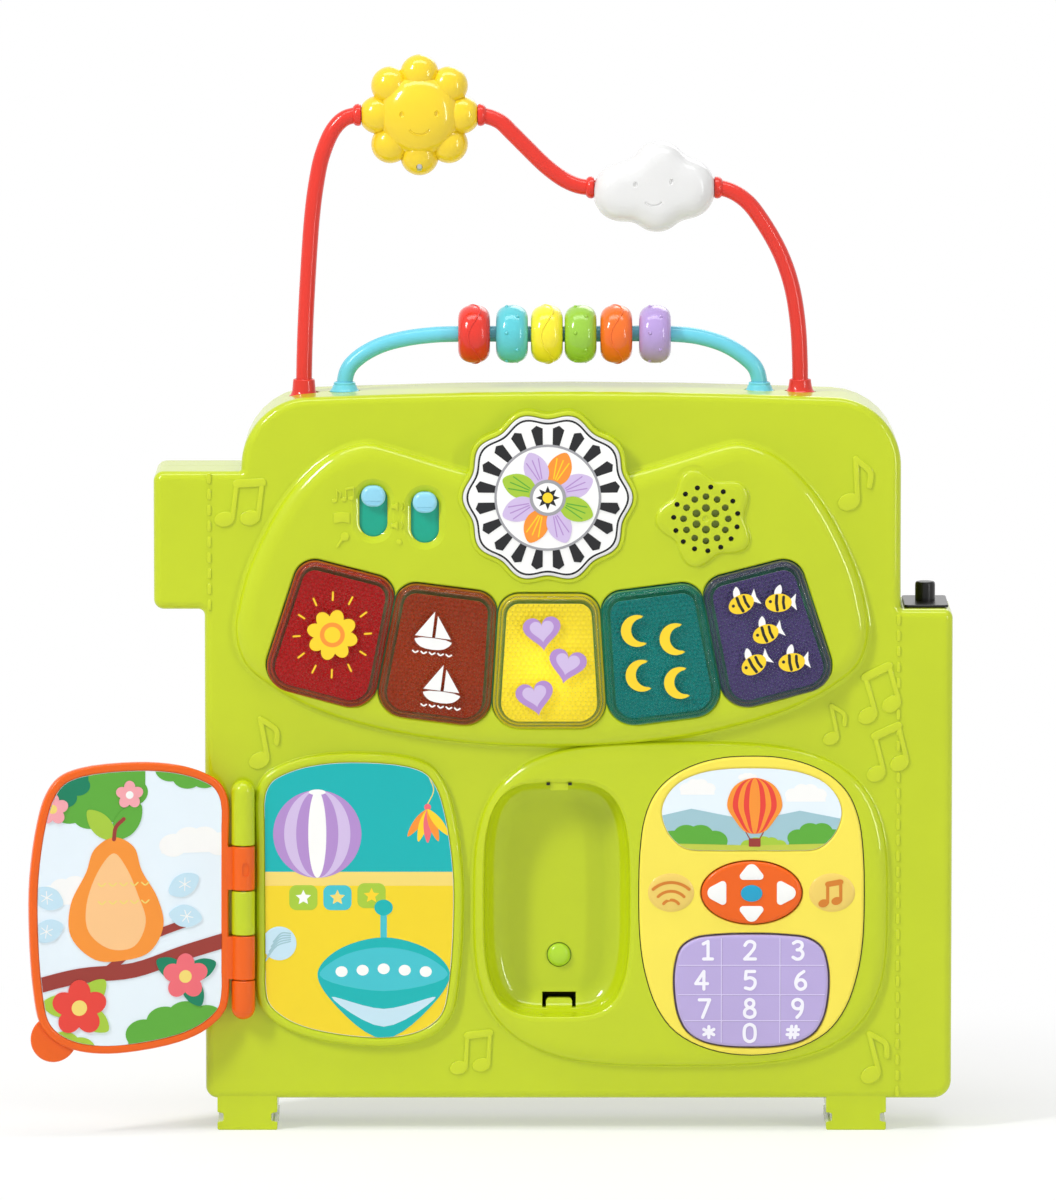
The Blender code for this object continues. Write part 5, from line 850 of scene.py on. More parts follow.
def body_reliefs():
    """Raised notes, the two rows of stitches and the small signs beside the switches."""
    # The raised forms take the lighter lime, a painted highlight.
    notes = Sketch(BODY_FRONT - 0.02, step=0.006, sunk=0.3, lift=0.85)
    for place in (
            (-156.0, 315.5, 1.12, -0.12, True), (160.5, 219.5, 1.15, 0.28, True),
            (165.0, 190.0, 1.12, 0.25, True), (-41.0, 39.5, 1.0, -0.05, True),
            (147.0, 326.0, 1.25, 0.05, False), (-147.5, 196.0, 1.2, 0.18, False),
            (137.5, 205.0, 0.95, 0.2, False), (157.0, 37.5, 1.2, 0.25, False)):
        note(notes, *place)
    notes.done("raised_notes", "panel", bevel=0.45)
    stitches = Sketch(BODY_FRONT - 0.02, step=0.0, sunk=0.3, lift=0.75)
    for across, low, count in ((-170.5, 264.5, 9), (172.5, 20.0, 31)):
        for k in range(count):
            stitches.fill(box_outline(across, low + 7.9 * k, 2.0, 5.4, 0.95), LIME_PAINTED_HIGHLIGHT)
    stitches.done("raised_stitches", "panel", bevel=0.4)
    signs = Sketch(KEY_TOP - 0.02, step=0.004, sunk=0.3, lift=0.6)
    note(signs, -108.0, 320.0, 0.32, 0.0, False)
    note(signs, -101.8, 320.5, 0.32, 0.0, True)
    page = [(-4, -2.6), (0, -1.8), (4, -2.6), (4, 2.6), (0, 3.2), (-4, 2.6)]
    horn = [(-3, -1), (-1.4, -1), (0.4, -2.4), (0.4, 2.4), (-1.4, 1), (-3, 1)]
    signs.fill(placed(page, -104.5, 308.6, 0), LIME_PAINTED_HIGHLIGHT)
    signs.ovals((LIME_PAINTED_HIGHLIGHT, -103.0, 299.5, 2.2))
    signs.line([(-104.2, 298.2), (-106.8, 294.6)], 1.3, LIME_PAINTED_HIGHLIGHT)
    for up, waves in ((314.5, 2), (305.0, 1)):
        signs.fill(placed(horn, -77.0, up, 0), LIME_PAINTED_HIGHLIGHT)
        for k in range(waves):
            arc = [polar(-76.4, up, 2.0 + 1.5 * k, angle) for angle in (-0.8, -0.4, 0, 0.4, 0.8)]
            signs.line(arc, 0.6, LIME_PAINTED_HIGHLIGHT)
    signs.ovals((LIME_PAINTED_HIGHLIGHT, -76.0, 296.8, 1.4))
    signs.done("raised_signs", "panel", bevel=0.2)


# The telephone fascia
def phone_fascia():
    plate = lofted(FASCIA_EDGE, [(0, 32.3), *shoulder(1.6, 36.3, 1.4, 5)])
    steps = cut(
        lofted(offset(WINDOW_EDGE, -0.3), [
            (0, 35.2), (0, 35.6), (-0.5, 36.0), (-1.4, 36.32), (-1.4, 40.0)]),
        lofted(offset(KEYPAD_EDGE, -0.9), [(0, 20.0), (0, 35.7), (-0.5, 36.35), (-0.5, 40.0)]),
        lofted(offset(PAD_EDGE, -0.5), [(0, 20.0), (0, 35.8), (-0.4, 36.35), (-0.4, 40.0)]))
    piece("fascia_plate", carved(plate, *steps), FASCIA, "panel", ["phone_fascia"],
          even=True)
    # A thin black ring down in the gap round the fascia plate: painted shade in that gap.
    gap_shade = carved(slab(offset(FASCIA_EDGE, -0.46), 32.05, 34.4),
                  *cut(slab(offset(FASCIA_EDGE, 0.1), 30.0, 40.0)))
    piece("fascia_gap_shade", gap_shade, BLACK_PLASTIC, "panel", ())
    # Two black blocks beside the cradle's catch tab: painted shade standing for the dark slits
    # there.
    slit_shade = together(*[
        block((across - 0.9, 174.6, 33.0), (across + 0.9, 175.9, 34.9))
        for across in (HOOK[0] - 5.4, HOOK[0] + 5.4)])
    piece("cradle_slit_shade", slit_shade, BLACK_PLASTIC, "panel", ())
    domes = together(*[
        lofted(oval(across, DIAL[1], 11.5, 9.7, 0, 64), [
            (0, 36.0), (0, 36.35), (0.7, 36.8), (2.0, 37.1), (4.0, 37.28), (6.0, 37.36)])
        for across in DOMES])
    piece("icon_domes", domes, DOME, "panel", ())
    icons = Sketch(37.35, step=0.008, sunk=0.6)
    for radius, half in ((4.6, 54), (9.0, 46), (13.4, 42)):
        arc = [polar(DOMES[0], DIAL[1] - 8.2, radius, angle)
               for angle in sweep(90 + half, 90 - half, 12)]
        icons.line(arc, 1.5, "dusk")
    note(icons, DOMES[1] - 1.2, DIAL[1] - 0.6, 0.58, 0.0, True, ink("dusk"), 1.25)
    icons.done("dome_icons", "panel")


def pressed_face(name, edge, levels, paint, node_name):
    """A button's face with the flange that keeps it in the fascia."""
    flange = slab(offset(edge, -1.4), 30.5, 32.0)
    face = carved(lofted(edge, [(0, 28.3), *levels]), *add(flange))
    piece(f"{name}_face", face, paint, f"{name}_button", [node_name], even=True)


def phone_controls():
    pressed_face("keypad", KEYPAD_EDGE, [(0, 36.4), *shoulder(1.8, 37.7, 1.3, 5)], KEYPAD_LILAC,
                 "keypad")
    lines = Sketch(DIAL_TOP, step=0.004, sunk=0.3, lift=0.02)
    # Each grid line is a painted shade line beside a painted highlight line, standing for a
    # groove.
    for shade, shift, width in ((KEYPAD_PAINTED_SHADE, -0.25, 0.35), (KEYPAD_PAINTED_HIGHLIGHT, 0.05, 0.45)):
        for across in (84.5, 113.7):
            lines.line([(across - shift, 44.5), (across - shift, 98.6)], width, shade)
        for up in (84.4, 69.6, 56.5):
            lines.line([(61.5, up + shift), (137.5, up + shift)], width, shade)
    lines.clip(offset(KEYPAD_EDGE, 1.2))
    lines.done("keypad_lines", "keypad_button")
    digits = Sketch(DIAL_TOP, step=0.003, sunk=0.3, lift=0.14)
    for across, up, strokes in DIGITS:
        for line in strokes:
            points = [(across + x * 0.92, up + y * 0.90) for x, y in line]
            digits.line(points, 1.6, DIGIT, 5 if len(line) > 2 else 1)
    digits.done("keypad_digits", "keypad_button")
    pressed_face("direction", PAD_EDGE, [(0, 36.2), *shoulder(2.2, 37.7, 1.5, 6)], ORANGE_PLASTIC,
                 "direction_pad")
    arrows = Sketch(37.66, step=0.004, sunk=0.3, lift=0.35)
    for corners in (
            ((-7.8, 6.6, 1.8), (7.8, 6.6, 1.8), (0, 16.6, 3.4)),
            ((7.8, -6.6, 1.8), (-7.8, -6.6, 1.8), (0, -16.6, 3.4)),
            ((-12.6, 7.2, 1.8), (-26.0, 0, 3.6), (-12.6, -7.2, 1.8)),
            ((12.6, -7.2, 1.8), (26.0, 0, 3.6), (12.6, 7.2, 1.8))):
        arrows.fill(rounded([(DIAL[0] + x, DIAL[1] + y, r) for x, y, r in corners]), "white")
    arrows.fill(oval(DIAL[0], DIAL[1] - 0.2, 5.4, 4.2), "azure", 0.15)
    arrows.done("direction_arrows", "direction_button", bevel=0.18)


# Each sign's place and its strokes; those of more than two points are curves
DIGITS = (
    (77.2, 92.0, ([(-2.0, 3.6), (0.6, 5.0)], [(0.6, 5.0), (0.6, -4.8)],
                  [(-1.8, -4.8), (3.0, -4.8)])),
    (98.6, 92.0, ([(-2.7, 2.8), (-1.4, 4.6), (0.6, 5.0), (2.5, 3.8), (2.4, 1.6), (0.4, -1.4),
                   (-2.8, -4.8)], [(-2.8, -4.8), (3.0, -4.8)])),
    (122.5, 92.0, ([(-2.4, 4.0), (-0.4, 5.0), (2.0, 4.2), (2.3, 2.2), (0.6, 0.5), (-0.4, 0.3)],
                   [(-0.4, 0.3), (1.6, 0.1), (2.8, -2.0), (1.6, -4.4), (-0.6, -4.9),
                    (-2.6, -3.8)])),
    (74.6, 76.9, ([(1.2, -4.9), (1.2, 5.0)], [(1.2, 5.0), (-3.2, -1.8)],
                  [(-3.2, -1.8), (3.2, -1.8)])),
    (98.6, 76.9, ([(2.6, 5.0), (-2.0, 5.0)], [(-2.0, 5.0), (-2.4, 0.8)],
                  [(-2.4, 0.8), (0.2, 1.5), (2.6, 0.2), (2.7, -2.6), (0.8, -4.8), (-2.4, -4.2)])),
    (123.9, 76.9, ([(1.8, 5.0), (-1.2, 2.6), (-2.6, -1.2), (-1.8, -4.0), (0.2, -5.0), (2.4, -3.8),
                    (2.6, -1.4), (0.9, 0.3), (-1.3, -0.1), (-2.5, -1.6)],)),
    (76.0, 62.8, ([(-2.8, 4.8), (2.8, 4.8)], [(2.8, 4.8), (-1.0, -5.0)])),
    (98.6, 62.8, ([(0, 0.4), (-2.0, 1.8), (-1.9, 4.0), (0, 5.0), (1.9, 4.0), (2.0, 1.8), (0, 0.4)],
                  [(0, 0.4), (-2.6, -1.2), (-2.5, -3.9), (0, -5.0), (2.5, -3.9), (2.6, -1.2),
                   (0, 0.4)])),
    (122.5, 62.8, ([(2.4, 1.6), (1.2, 0.0), (-1.2, 0.0), (-2.6, 1.8), (-2.2, 4.0), (0, 5.0),
                    (2.2, 3.8), (2.6, 1.4), (1.6, -2.6), (-0.4, -5.0)],)),
    (78.2, 50.9, ([(0, 3.0), (0, -3.0)], [(-2.7, 1.5), (2.7, -1.5)], [(-2.7, -1.5), (2.7, 1.5)])),
    (98.6, 50.4, ([(0, 4.8), (-2.3, 3.6), (-3.0, 0), (-2.3, -3.6), (0, -4.8), (2.3, -3.6),
                   (3.0, 0), (2.3, 3.6), (0, 4.8)],)),
    (120.1, 50.9, ([(-0.6, 3.2), (-1.4, -3.2)], [(1.8, 3.2), (1.0, -3.2)],
                   [(-2.8, 1.3), (3.1, 1.3)], [(-3.1, -1.4), (2.8, -1.4)])))


# Pictures
def picture(name, outline, level, body, artist, replaces, place=PANEL):
    """A printed card: its base and the artwork clipped to it."""
    piece(f"{name}_card", slab(outline, level - 0.7, level), CARD, body, [replaces], place)
    art = Sketch(level, step=0.006, sunk=0.05)
    artist(art)
    art.clip(offset(outline, 0.15))
    art.done(f"{name}_art", body, place)


def landscape(art):
    """Hills and a striped balloon, for the window above the dial."""
    x = DIAL[0]
    art.fill(box_outline(x, 162, 100, 60, 1), "sky")
    for across, up, width, height in ((27, 166.5, 22, 9), (-27, 170, 19, 8), (-2, 178, 10, 3)):
        art.bank(x + across, up, width, height, 4, "white")
    art.fill([(x - 60, 130), (x + 60, 130), (x + 60, 155), (x + 24, 162), (x, 157), (x - 30, 163),
              (x - 60, 156)], "hill")
    art.bank(x - 29, 143, 36, 12, 4, "leaf")
    art.bank(x + 32, 143, 30, 13, 4, "leaf")
    art.bank(x + 6, 143, 24, 6, 5, "light_leaf")
    art.fill([(x - 60, 130), (x + 60, 130), (x + 60, 146), (x, 144.6), (x - 60, 146)], "meadow")
    balloon(art, x + 1.5, 164.5, 14.0, ("orange", "red", "orange", "red", "orange"))


def balloon(art, across, up, size, stripes):
    """A hot-air balloon with upright stripes and a basket."""
    for side in (-size, size):
        rope = [(across + side * 0.42, up - size * 0.75), (across + side * 0.16, up - size * 1.22)]
        art.line(rope, 0.5, "brown")
    half = [(-0.72, 0.7), (-0.98, 0), (-0.72, -0.5), (-0.3, -0.95)]
    shape = smooth([(0, size)] + [(x * size, y * size) for x, y in half]
                   + [(-x * size, y * size) for x, y in reversed(half)], 6)
    for k, paint in enumerate(stripes):
        share = 1 - k / len(stripes)
        art.fill([(across + x * share, up + y) for x, y in shape], paint)
    art.fill(box_outline(across, up - size * 1.32, size * 0.42, size * 0.3, 0.6), "brown")


def flower(art, across, up, size, paint, heart_paint="sand"):
    for angle in around(5):
        turn = 0.3 + angle
        art.fill(oval(*polar(across, up, size * 0.55, turn), size * 0.46, size * 0.40, turn, 24),
                 paint)
    art.fill(oval(across, up, size * 0.28, count=20), heart_paint)


def nursery(art):
    """Toys on a yellow floor: a ball, a spinning top, bricks and a mobile."""
    for up, height, paint in ((158, 84, "teal"), (127.5, 7, "sand"), (83, 82, "floor")):
        art.fill(box_outline(-97, up, 120, height, 1), paint)
    art.line([(-61, 190), (-61.5, 180), (-59, 172), (-62, 165)], 0.5, "sand", steps=5)
    art.ovals(("pink", -62, 163.5, 1.7))
    for angle, paint in ((-2.2, "orange"), (-1.85, "gold"), (-1.57, "pink"), (-1.25, "orange"),
                         (-0.9, "gold")):
        art.fill(petal(-62, 162.5, 17, 4.5, angle), paint)
    for wide, paint in ((22, "lilac"), (16.5, "pale_lilac"), (10.5, "lilac"), (4.5, "white")):
        art.fill(oval(-117, 150, wide, 22, count=64), paint)
    art.ovals(("white", -117, 171, 4.2, 1.4))
    for across, up, paint, spot in (
            (-124, 118, "light_leaf", "white"), (-107, 118, "cyan", "sand"),
            (-90, 119, "light_leaf", "gold")):
        art.fill(box_outline(across, up, 14, 12.5, 3.5), paint)
        art.fill(star(across, up, 4.0, 1.9), spot)
    art.line([(-84, 96), (-84, 112)], 3.2, "cyan")
    art.ovals(("teal", -84, 113, 4.6, 4.0))
    art.loop("teal", [(-117, 80), (-110, 66), (-84, 47), (-58, 66), (-51, 80), (-60, 91),
                      (-84, 98), (-108, 91)])
    art.loop("cyan", [(-116, 79), (-84, 71), (-52, 79), (-62, 88), (-84, 93), (-106, 88)])
    art.loop("pale_blue", [(-110, 68), (-84, 62), (-58, 68), (-84, 53)])
    for k in range(-2, 3):
        art.ovals(("white", -84 + 10.5 * k, 82.2 - abs(k) * 0.7, 3.0, 2.7))
    art.fill(oval(-136, 95, 8.5, count=40), "pale_blue")
    for k in range(-2, 3):
        art.line([(-141 + k, 91 + 2.4 * k), (-136 + k * 0.6, 97 + 1.6 * k), (-130.5, 98 + k)],
                 0.7, "hill", steps=4)


def orchard(art):
    """Fruit, leaves and flowers for the inner side of the door."""
    art.fill(box_outline(-58, 115, 130, 170, 1), "sky")
    for row in (
            (-86, 118, 40, 14, 5, "white"), (-24, 142, 40, 13, 4, "white"),
            (-78, 190, 62, -34, 5, "leaf"), (-94, 190, 34, -24, 4, "deep_leaf"),
            (-24, 190, 44, -16, 4, "leaf"), (-30, 40, 64, 27, 5, "leaf"),
            (-92, 40, 34, 14, 3, "light_leaf")):
        art.bank(*row)
    art.line([(-112, 76), (-84, 82), (-56, 84), (-30, 92), (0, 100)], 7.5, "brown", steps=5)
    art.line([(-70, 84), (-48, 100), (-26, 108)], 4.0, "brown", steps=5)
    art.fill(petal(-66, 150, 22, 13, 0.9), "leaf")
    art.fill(petal(-66, 150, 20, 11, 2.3), "light_leaf")
    art.loop("orange", [
        (-66, 151), (-76, 145), (-80, 134), (-88, 118), (-88, 102), (-76, 90), (-62, 89),
        (-48, 93), (-41, 106), (-44, 120), (-52, 134), (-56, 146)])
    art.loop("peach", [(-66, 143), (-73, 136), (-80, 118), (-79, 104), (-68, 95), (-56, 96),
                       (-50, 108), (-54, 122), (-60, 136)])
    art.line([(-66, 150), (-65, 156), (-61, 160)], 2.0, "brown", steps=4)
    for k in range(5):
        for up in (128, 119):
            x = -74 + 5.5 * k
            art.line([(x, up), (x + 1.8, up - 1.4), (x + 3.6, up)], 0.7, "sand", steps=3)
    for across, up, angle in ((-92, 118, 2.7), (-92, 108, 3.5), (-38, 122, 0.5), (-38, 112, -0.2)):
        art.fill(petal(across, up, 17, 12, angle), "pale_blue")
        end = polar(across, up, 9, angle)
        for spoke in around(6):
            art.line([end, polar(*end, 3.2, angle + spoke)], 0.45, "white")
    flower(art, -97, 166, 8.0, "rose")
    flower(art, -58, 172, 7.0, "rose", "white")
    for angle in (0.4, 2.6, 5.2):
        art.fill(petal(-30, 80, 17, 11, angle), "deep_leaf")
        art.fill(petal(-84, 66, 19, 12, angle + 0.4), "light_leaf")
    flower(art, -30, 80, 11.5, "pink")
    flower(art, -84, 66, 14.0, "red")


def badge():
    """A rosette of stripes, leaves and petals in the badge's colours."""
    base = lofted(BADGE_EDGE, [(0, 36.7), *shoulder(0.8, 38.6, 0.8, 4)])
    piece("badge_base", base, WHITE_GLOSS, "panel", ["badge_plate"])
    art = Sketch(38.6)
    for radius, paint in ((38.9, "black"), (37.9, "white")):
        art.fill(waved(*BADGE, radius, 1.5, 10, 0, 160), paint)
    ray = [(25.5, -1.6), (34.5, -2.9), (36.3, 0), (34.5, 2.9), (25.5, 1.6)]
    for angle in around(20, 0.5):
        art.fill(placed(ray, *BADGE, angle), "black")
    for radius, paint in ((26.5, "grey"), (25.3, "white")):
        art.fill(oval(*BADGE, radius, count=64), paint)
    for k, angle in enumerate(around(8, 0.5)):
        paint, vein = (("pale_lilac", "lilac"), ("orange", "gold"), ("pale_lilac", "lilac"),
                       ("light_leaf", "leaf"))[k % 4]
        art.fill(petal(*polar(*BADGE, 6, angle), 18.2, 13.0, angle), paint)
        for turn in (-0.16, 0.0, 0.16):
            art.line([polar(*BADGE, 10, angle + turn * 0.6), polar(*BADGE, 20, angle + turn)],
                     0.6, vein)
    for radius, paint in ((9.0, "grey"), (7.4, "white")):
        art.fill(oval(*BADGE, radius, count=40), paint)
    art.fill(star(*BADGE, 6.0, 3.2, 8), "black")
    art.fill(oval(*BADGE, 2.6, count=24), "gold")
    art.done("badge_art", "panel")


# Keys: each one's name, the lens's tint, the prisms' web, their pits painted darker as shade, and
# their glow; the glow is painted light, and on the yellow key it stands for the light of its LED
TINTS = (
    ("red", (0.36, 0.004, 0.003), (0.95, 0.070, 0.040), (0.30, 0.002, 0.002), 0.25),
    ("orange", (0.30, 0.030, 0.002), (1.0, 0.32, 0.055), (0.22, 0.020, 0.001), 0.25),
    ("yellow", (0.62, 0.50, 0.015), (1.0, 0.96, 0.40), (0.72, 0.56, 0.020), 0.8),
    ("teal", (0.0, 0.17, 0.13), (0.35, 0.88, 0.84), (0.0, 0.14, 0.13), 0.25),
    ("purple", (0.045, 0.035, 0.10), (0.74, 0.70, 0.90), (0.05, 0.035, 0.12), 0.25))


def prism_finish(name, web, hollow_shade, centre, glow):
    """Small hollow prisms: a bright web with each cell's pit painted darker as shade, and a
    painted glow that is brightest round a centre.
    """
    made = finish(name, web, 0.30, mottle=0.12, coat=0.0)
    tree = made.node_tree
    mask = node(tree, "Attribute", {}, attribute_name="prism")
    ramp = node(tree, "ValToRGB", {"Fac": mask.outputs["Fac"]})
    # The pits take a darker colour than the web: painted shade in the hollows.
    for stop, place, colour in zip(ramp.color_ramp.elements, (0.38, 0.58), (web, hollow_shade)):
        stop.position = place
        stop.color = (*colour, 1.0)
    shade = ramp.outputs["Color"]
    # Painted glow: the prisms give off their own colours, strongest round the centre and a quarter
    # as strong 34 mm off; on the yellow key it stands for its LED's light.
    painted_glow = node(tree, "VectorMath", {}, operation="SCALE")
    feed(tree, painted_glow, {0: shade, "Scale": fading(tree, centre, (0.0, 0.034), 1.0, 0.25)})
    feed(tree, tree.nodes["Principled BSDF"], {
        "Base Color": shade, "Emission Color": painted_glow.outputs[0], "Emission Strength": glow})
    return made


def lens_finish(name, tint):
    """Clear tinted plastic, denser where it is seen edge on."""
    made = finish(name, tint, 0.06, peel=500.0, bump=0.01, mottle=0.05, coat=0.6)
    tree = made.node_tree
    edge_on = node(tree, "LayerWeight", {"Blend": 0.5}).outputs["Facing"]
    density = node(tree, "MapRange", {
        "Value": edge_on, "From Min": 0.02, "From Max": 0.55, "To Min": 0.07, "To Max": 0.90})
    camera_ray = node(tree, "LightPath", {}).outputs["Is Camera Ray"]
    alpha = maths(tree, "MULTIPLY", camera_ray, density.outputs["Result"])
    feed(tree, tree.nodes["Principled BSDF"], {"Alpha": alpha})
    return made


def prism_panel(outline):
    """A sheet of small hexagonal prisms cut to an outline, with the prism mask on its points."""
    shape = bmesh.new()
    pitch = 2.6
    row_step = pitch * math.sqrt(3) / 2
    rows = int(34 / row_step) + 1
    columns = int(30 / pitch) + 1
    turn = Matrix.Rotation(math.pi / 6, 4, "Z")
    for row in range(-rows, rows + 1):
        for column in range(-columns, columns + 1):
            middle = (column * pitch + (pitch / 2 if row % 2 else 0), row * row_step, 0)
            bmesh.ops.create_circle(
                shape, cap_ends=True, segments=6, radius=pitch / math.sqrt(3),
                matrix=Matrix.Translation(middle) @ turn)
    bmesh.ops.remove_doubles(shape, verts=shape.verts, dist=0.01)
    for face in shape.faces:
        if face.normal.z < 0:
            face.normal_flip()
    flat = set(shape.verts)
    bmesh.ops.poke(shape, faces=shape.faces, offset=-0.45)
    mask = shape.verts.layers.float.new("prism")
    for vert in shape.verts:
        vert[mask] = 0.0 if vert in flat else 1.0
    for i, point in enumerate(outline):
        side = Vector(point) - Vector(outline[i - 1])
        bmesh.ops.bisect_plane(
            shape, geom=everything(shape), plane_co=(*point, 0), plane_no=(side.y, -side.x, 0),
            clear_outer=True)
    made = bmesh.ops.extrude_edge_only(shape, edges=open_rim(shape))
    for item in made["geom"]:
        if isinstance(item, bmesh.types.BMVert):
            item.co.z = -1.2
            item[mask] = 0.0
    return capped(shape, open_rim(shape))


def key_motifs(art, index):
    """Counted motifs, from one flower to five fish."""
    if index == 0:
        for angle in around(8):
            art.fill(oval(*polar(0, 0, 8.2, angle), 4.6, 3.6, angle, 24), "gold")
        art.ovals(("orange", 0, 0, 6.2), ("gold", 0, 0, 4.0))
        for angle in around(12, 0.5):
            art.line([polar(0, 0, 16, angle, 17.5), polar(0, 0, 19.2, angle, 21.5)], 0.9, "gold")
    elif index == 1:
        for across, up in ((-4.0, 12.0), (3.5, -14.0)):
            for sail in ([(-1.0, -3.5), (-1.0, 9.5), (-9.6, -3.5)],
                         [(0.6, -3.5), (8.4, -3.5), (0.6, 7.4)],
                         smooth([(-6.0, -8.8), (5.5, -8.8), (9.0, -5.0), (-9.5, -5.0)], 4)):
                art.fill(placed(sail, across, up, 0), "white")
            for k in range(-2, 3):
                x = across + 4.2 * k
                art.line([(x - 1.3, up - 11.2), (x, up - 12.0), (x + 1.3, up - 11.2)], 0.8,
                         "white", steps=3)
    elif index == 2:
        for place in ((-3.5, 15.5, 0.1), (9.0, -1.0, -0.2), (-7.0, -17.0, 0.2)):
            art.fill(placed(heart(0, 9.4), *place), "lilac")
            art.fill(placed(heart(0.6, 6.0), *place), "pale_lilac")
    elif index == 3:
        for across, up in ((-9.0, 13.5), (9.5, 7.0), (-9.5, -9.0), (9.0, -15.0)):
            art.fill([polar(across, up, 8.0, angle) for angle in sweep(60, 300, 24)]
                     + [polar(across + 3.2, up, 6.1, angle)
                        for angle in sweep(276, 84, 20)[1:-1]], "gold")
    else:
        fish = (
            ([(7.6, -3.6), (7.0, 0), (7.6, 3.6), (3.8, 0)], "white"),
            (petal(-1.0, 2.0, 6.0, 3.2, 1.2), "white"), (oval(0, 0, 5.6, 3.9), "gold"),
            (stroke([(-0.6, -3.0), (-0.9, 0), (-0.6, 3.0)], 1.3), "black"),
            (stroke([(2.3, -2.4), (2.0, 0), (2.3, 2.4)], 1.2), "black"),
            (oval(-3.4, 0.7, 0.7, count=12), "black"))
        for place in ((-8.0, 18.0, 0.2), (10.0, 14.0, -0.2), (0.0, 0.5, 0.1), (-9.5, -13.0, 0.3),
                      (9.0, -16.5, -0.1)):
            for points, paint in fish:
                art.fill(placed([(x * 1.18, y * 1.18) for x, y in points], *place), paint)


def keys():
    for index, (name, tint, web, hollow_shade, glow) in enumerate(TINTS):
        across, up, angle = key_place(index)
        place = PANEL @ Matrix.Translation((across, up, 0)) @ Matrix.Rotation(angle, 4, "Z")
        body = f"key_{index + 1}"
        inner = [(inset + 1.8, height) for inset, height in reversed(shoulder(2.4, 41.7, 2.4, 5))]
        lens = lofted(KEY_EDGE, [*inner, (1.8, 26.0), (0.0, 26.0), *shoulder(3.6, 43.5, 3.6, 7)])
        lens = together(lens, *[
            block((-4.5, middle - 1.4, 32.7), (4.5, middle + 1.4, 34.2))
            for middle in (-34.2, 34.2)])
        piece(f"{body}_cover", lens, lens_finish(f"{name}_lens", tint), body, [f"{body}_lens"],
              place)
        panel = prism_panel(offset(KEY_EDGE, 4.2))
        bmesh.ops.translate(panel, vec=(0, -0.6, 40.6), verts=panel.verts)
        paint = prism_finish(
            f"{name}_prisms", web, hollow_shade, place @ Vector((-2.0, -4.0, 39.0)), glow)
        piece(f"{body}_prisms", panel, paint, body, [f"{body}_plate"], place,
              sharp=10)
        art = Sketch(43.5, step=0.006, sunk=0.05)
        key_motifs(art, index)
        art.done(f"{body}_print", body, place)


# Switches, the hook button and a black ring behind the speaker's outer holes
def controls():
    for name, (across, up) in zip(("mode", "volume"), SWITCHES):
        knob = lofted(box_outline(across, up + 7.5, 12.2, 10.6, 5.2), [
            (0, 34.5), (0, 37.0), *shoulder(2.4, 39.2, 2.2, 6)])
        grip = lofted(box_outline(across, up + 4.4, 9.6, 2.0, 0.95), [
            (0.35, 38.7), (0, 39.1), (-0.4, 42.0)])
        plate = slab(box_outline(across, up + 6.5, 14.6, 39.4, 7.2), 32.7, 34.2, front=0.3)
        body = f"{name}_switch"
        piece(f"{name}_knob", carved(knob, *cut(grip)), SWITCH_BLUE, body, [f"{body}_knob"])
        piece(f"{name}_plate", plate, SWITCH_TEAL, body, [f"{body}_plate"])
    profile = [(0, 18.5), *[(5.8 * s, 15.6 + 2.9 * c) for s, c in quarter(8)[1:]], (5.8, 12.1),
               (7.8, 12.1), (7.8, 10.6), (0, 10.6)]
    piece("hook_cap", turned(profile, 48, place=(*HOOK, 0)), HOOK_GREEN, "hook_button",
          ["hook_button"])
    # A thin black ring behind the outer ring of speaker holes: painted shade, so that those holes
    # read dark.
    ring = [(13.6, 34.35), (19.6, 34.35), (19.6, 34.22), (13.6, 34.22)]
    piece("speaker_hole_shade", turned(ring, 60, True, (*SPEAKER, 0)), BLACK_PLASTIC, "panel", ())


# The door
SWING = PANEL @ Matrix.Translation(HINGE) @ Matrix.Rotation(math.radians(-166), 4, "Y")
DOOR_BACK = -1.6
DOOR_FRONT = 3.4


def door():
    back, front = DOOR_BACK, DOOR_FRONT
    shape = lofted(DOOR_EDGE, foot_curve(1.5, back, 1.5, 5) + shoulder(1.5, front, 1.5, 5))
    thumb = superellipse(7.5 + 101.2 * 0.876, 42.5 + 145.5 * 0.055, 11.8, 11.8, 2, 60)
    steps = add(lofted(thumb, [(0.9, 0.9), (0.3, 1.2), (0, 1.9), *shoulder(0.9, 2.9, 0.9, 4)]))
    for low, high in KNUCKLES_DOOR:
        steps += add(block((0, low + 0.3, back + 0.2), (9.0, high - 0.3, front - 0.2)),
                     barrel(low, high))
    steps += cut(
        lofted(offset(DOOR_EDGE, 4.0), [
            (-1.2, back - 6), (-1.2, back - 0.05), (-0.5, back + 0.12), (0, back + 0.5),
            (0, back + 1.3)]),
        lofted(offset(DOOR_EDGE, 9.0), [
            (1.0, front - 0.6), (0, front - 0.1), (-0.3, front + 0.2), (-0.3, front + 5)]),
        lofted(box_outline(0, 133.0, 3.4, 7.0, 1.6), [(0, -9.0), (0, -5.2)]))
    piece("door_panel", carved(shape, *steps), ORANGE_PLASTIC, "door", ["door_frame"],
          place=SWING, even=True)
    card = [(-x, y) for x, y in reversed(offset(DOOR_EDGE, 4.15))]
    picture("door", card, 1.3, "door", orchard, "door_picture_card",
            SWING @ Matrix.Rotation(math.pi, 4, "Y"))
    cap = [(0, 57.1), *[(HINGE_RADIUS * s, 63.0 - HINGE_RADIUS * c) for s, c in quarter(8)[1:]],
           (HINGE_RADIUS, 76.4), (HINGE_RADIUS - 0.5, 76.9), (1.8, 76.9), (1.8, 68.9), (0, 68.9)]
    piece("hinge_cap", turned(cap, 40, place=(HINGE[0], 0, HINGE[2]), along=ALONG_UP),
          ORANGE_PLASTIC, "panel", ["door_hinge_cap"])


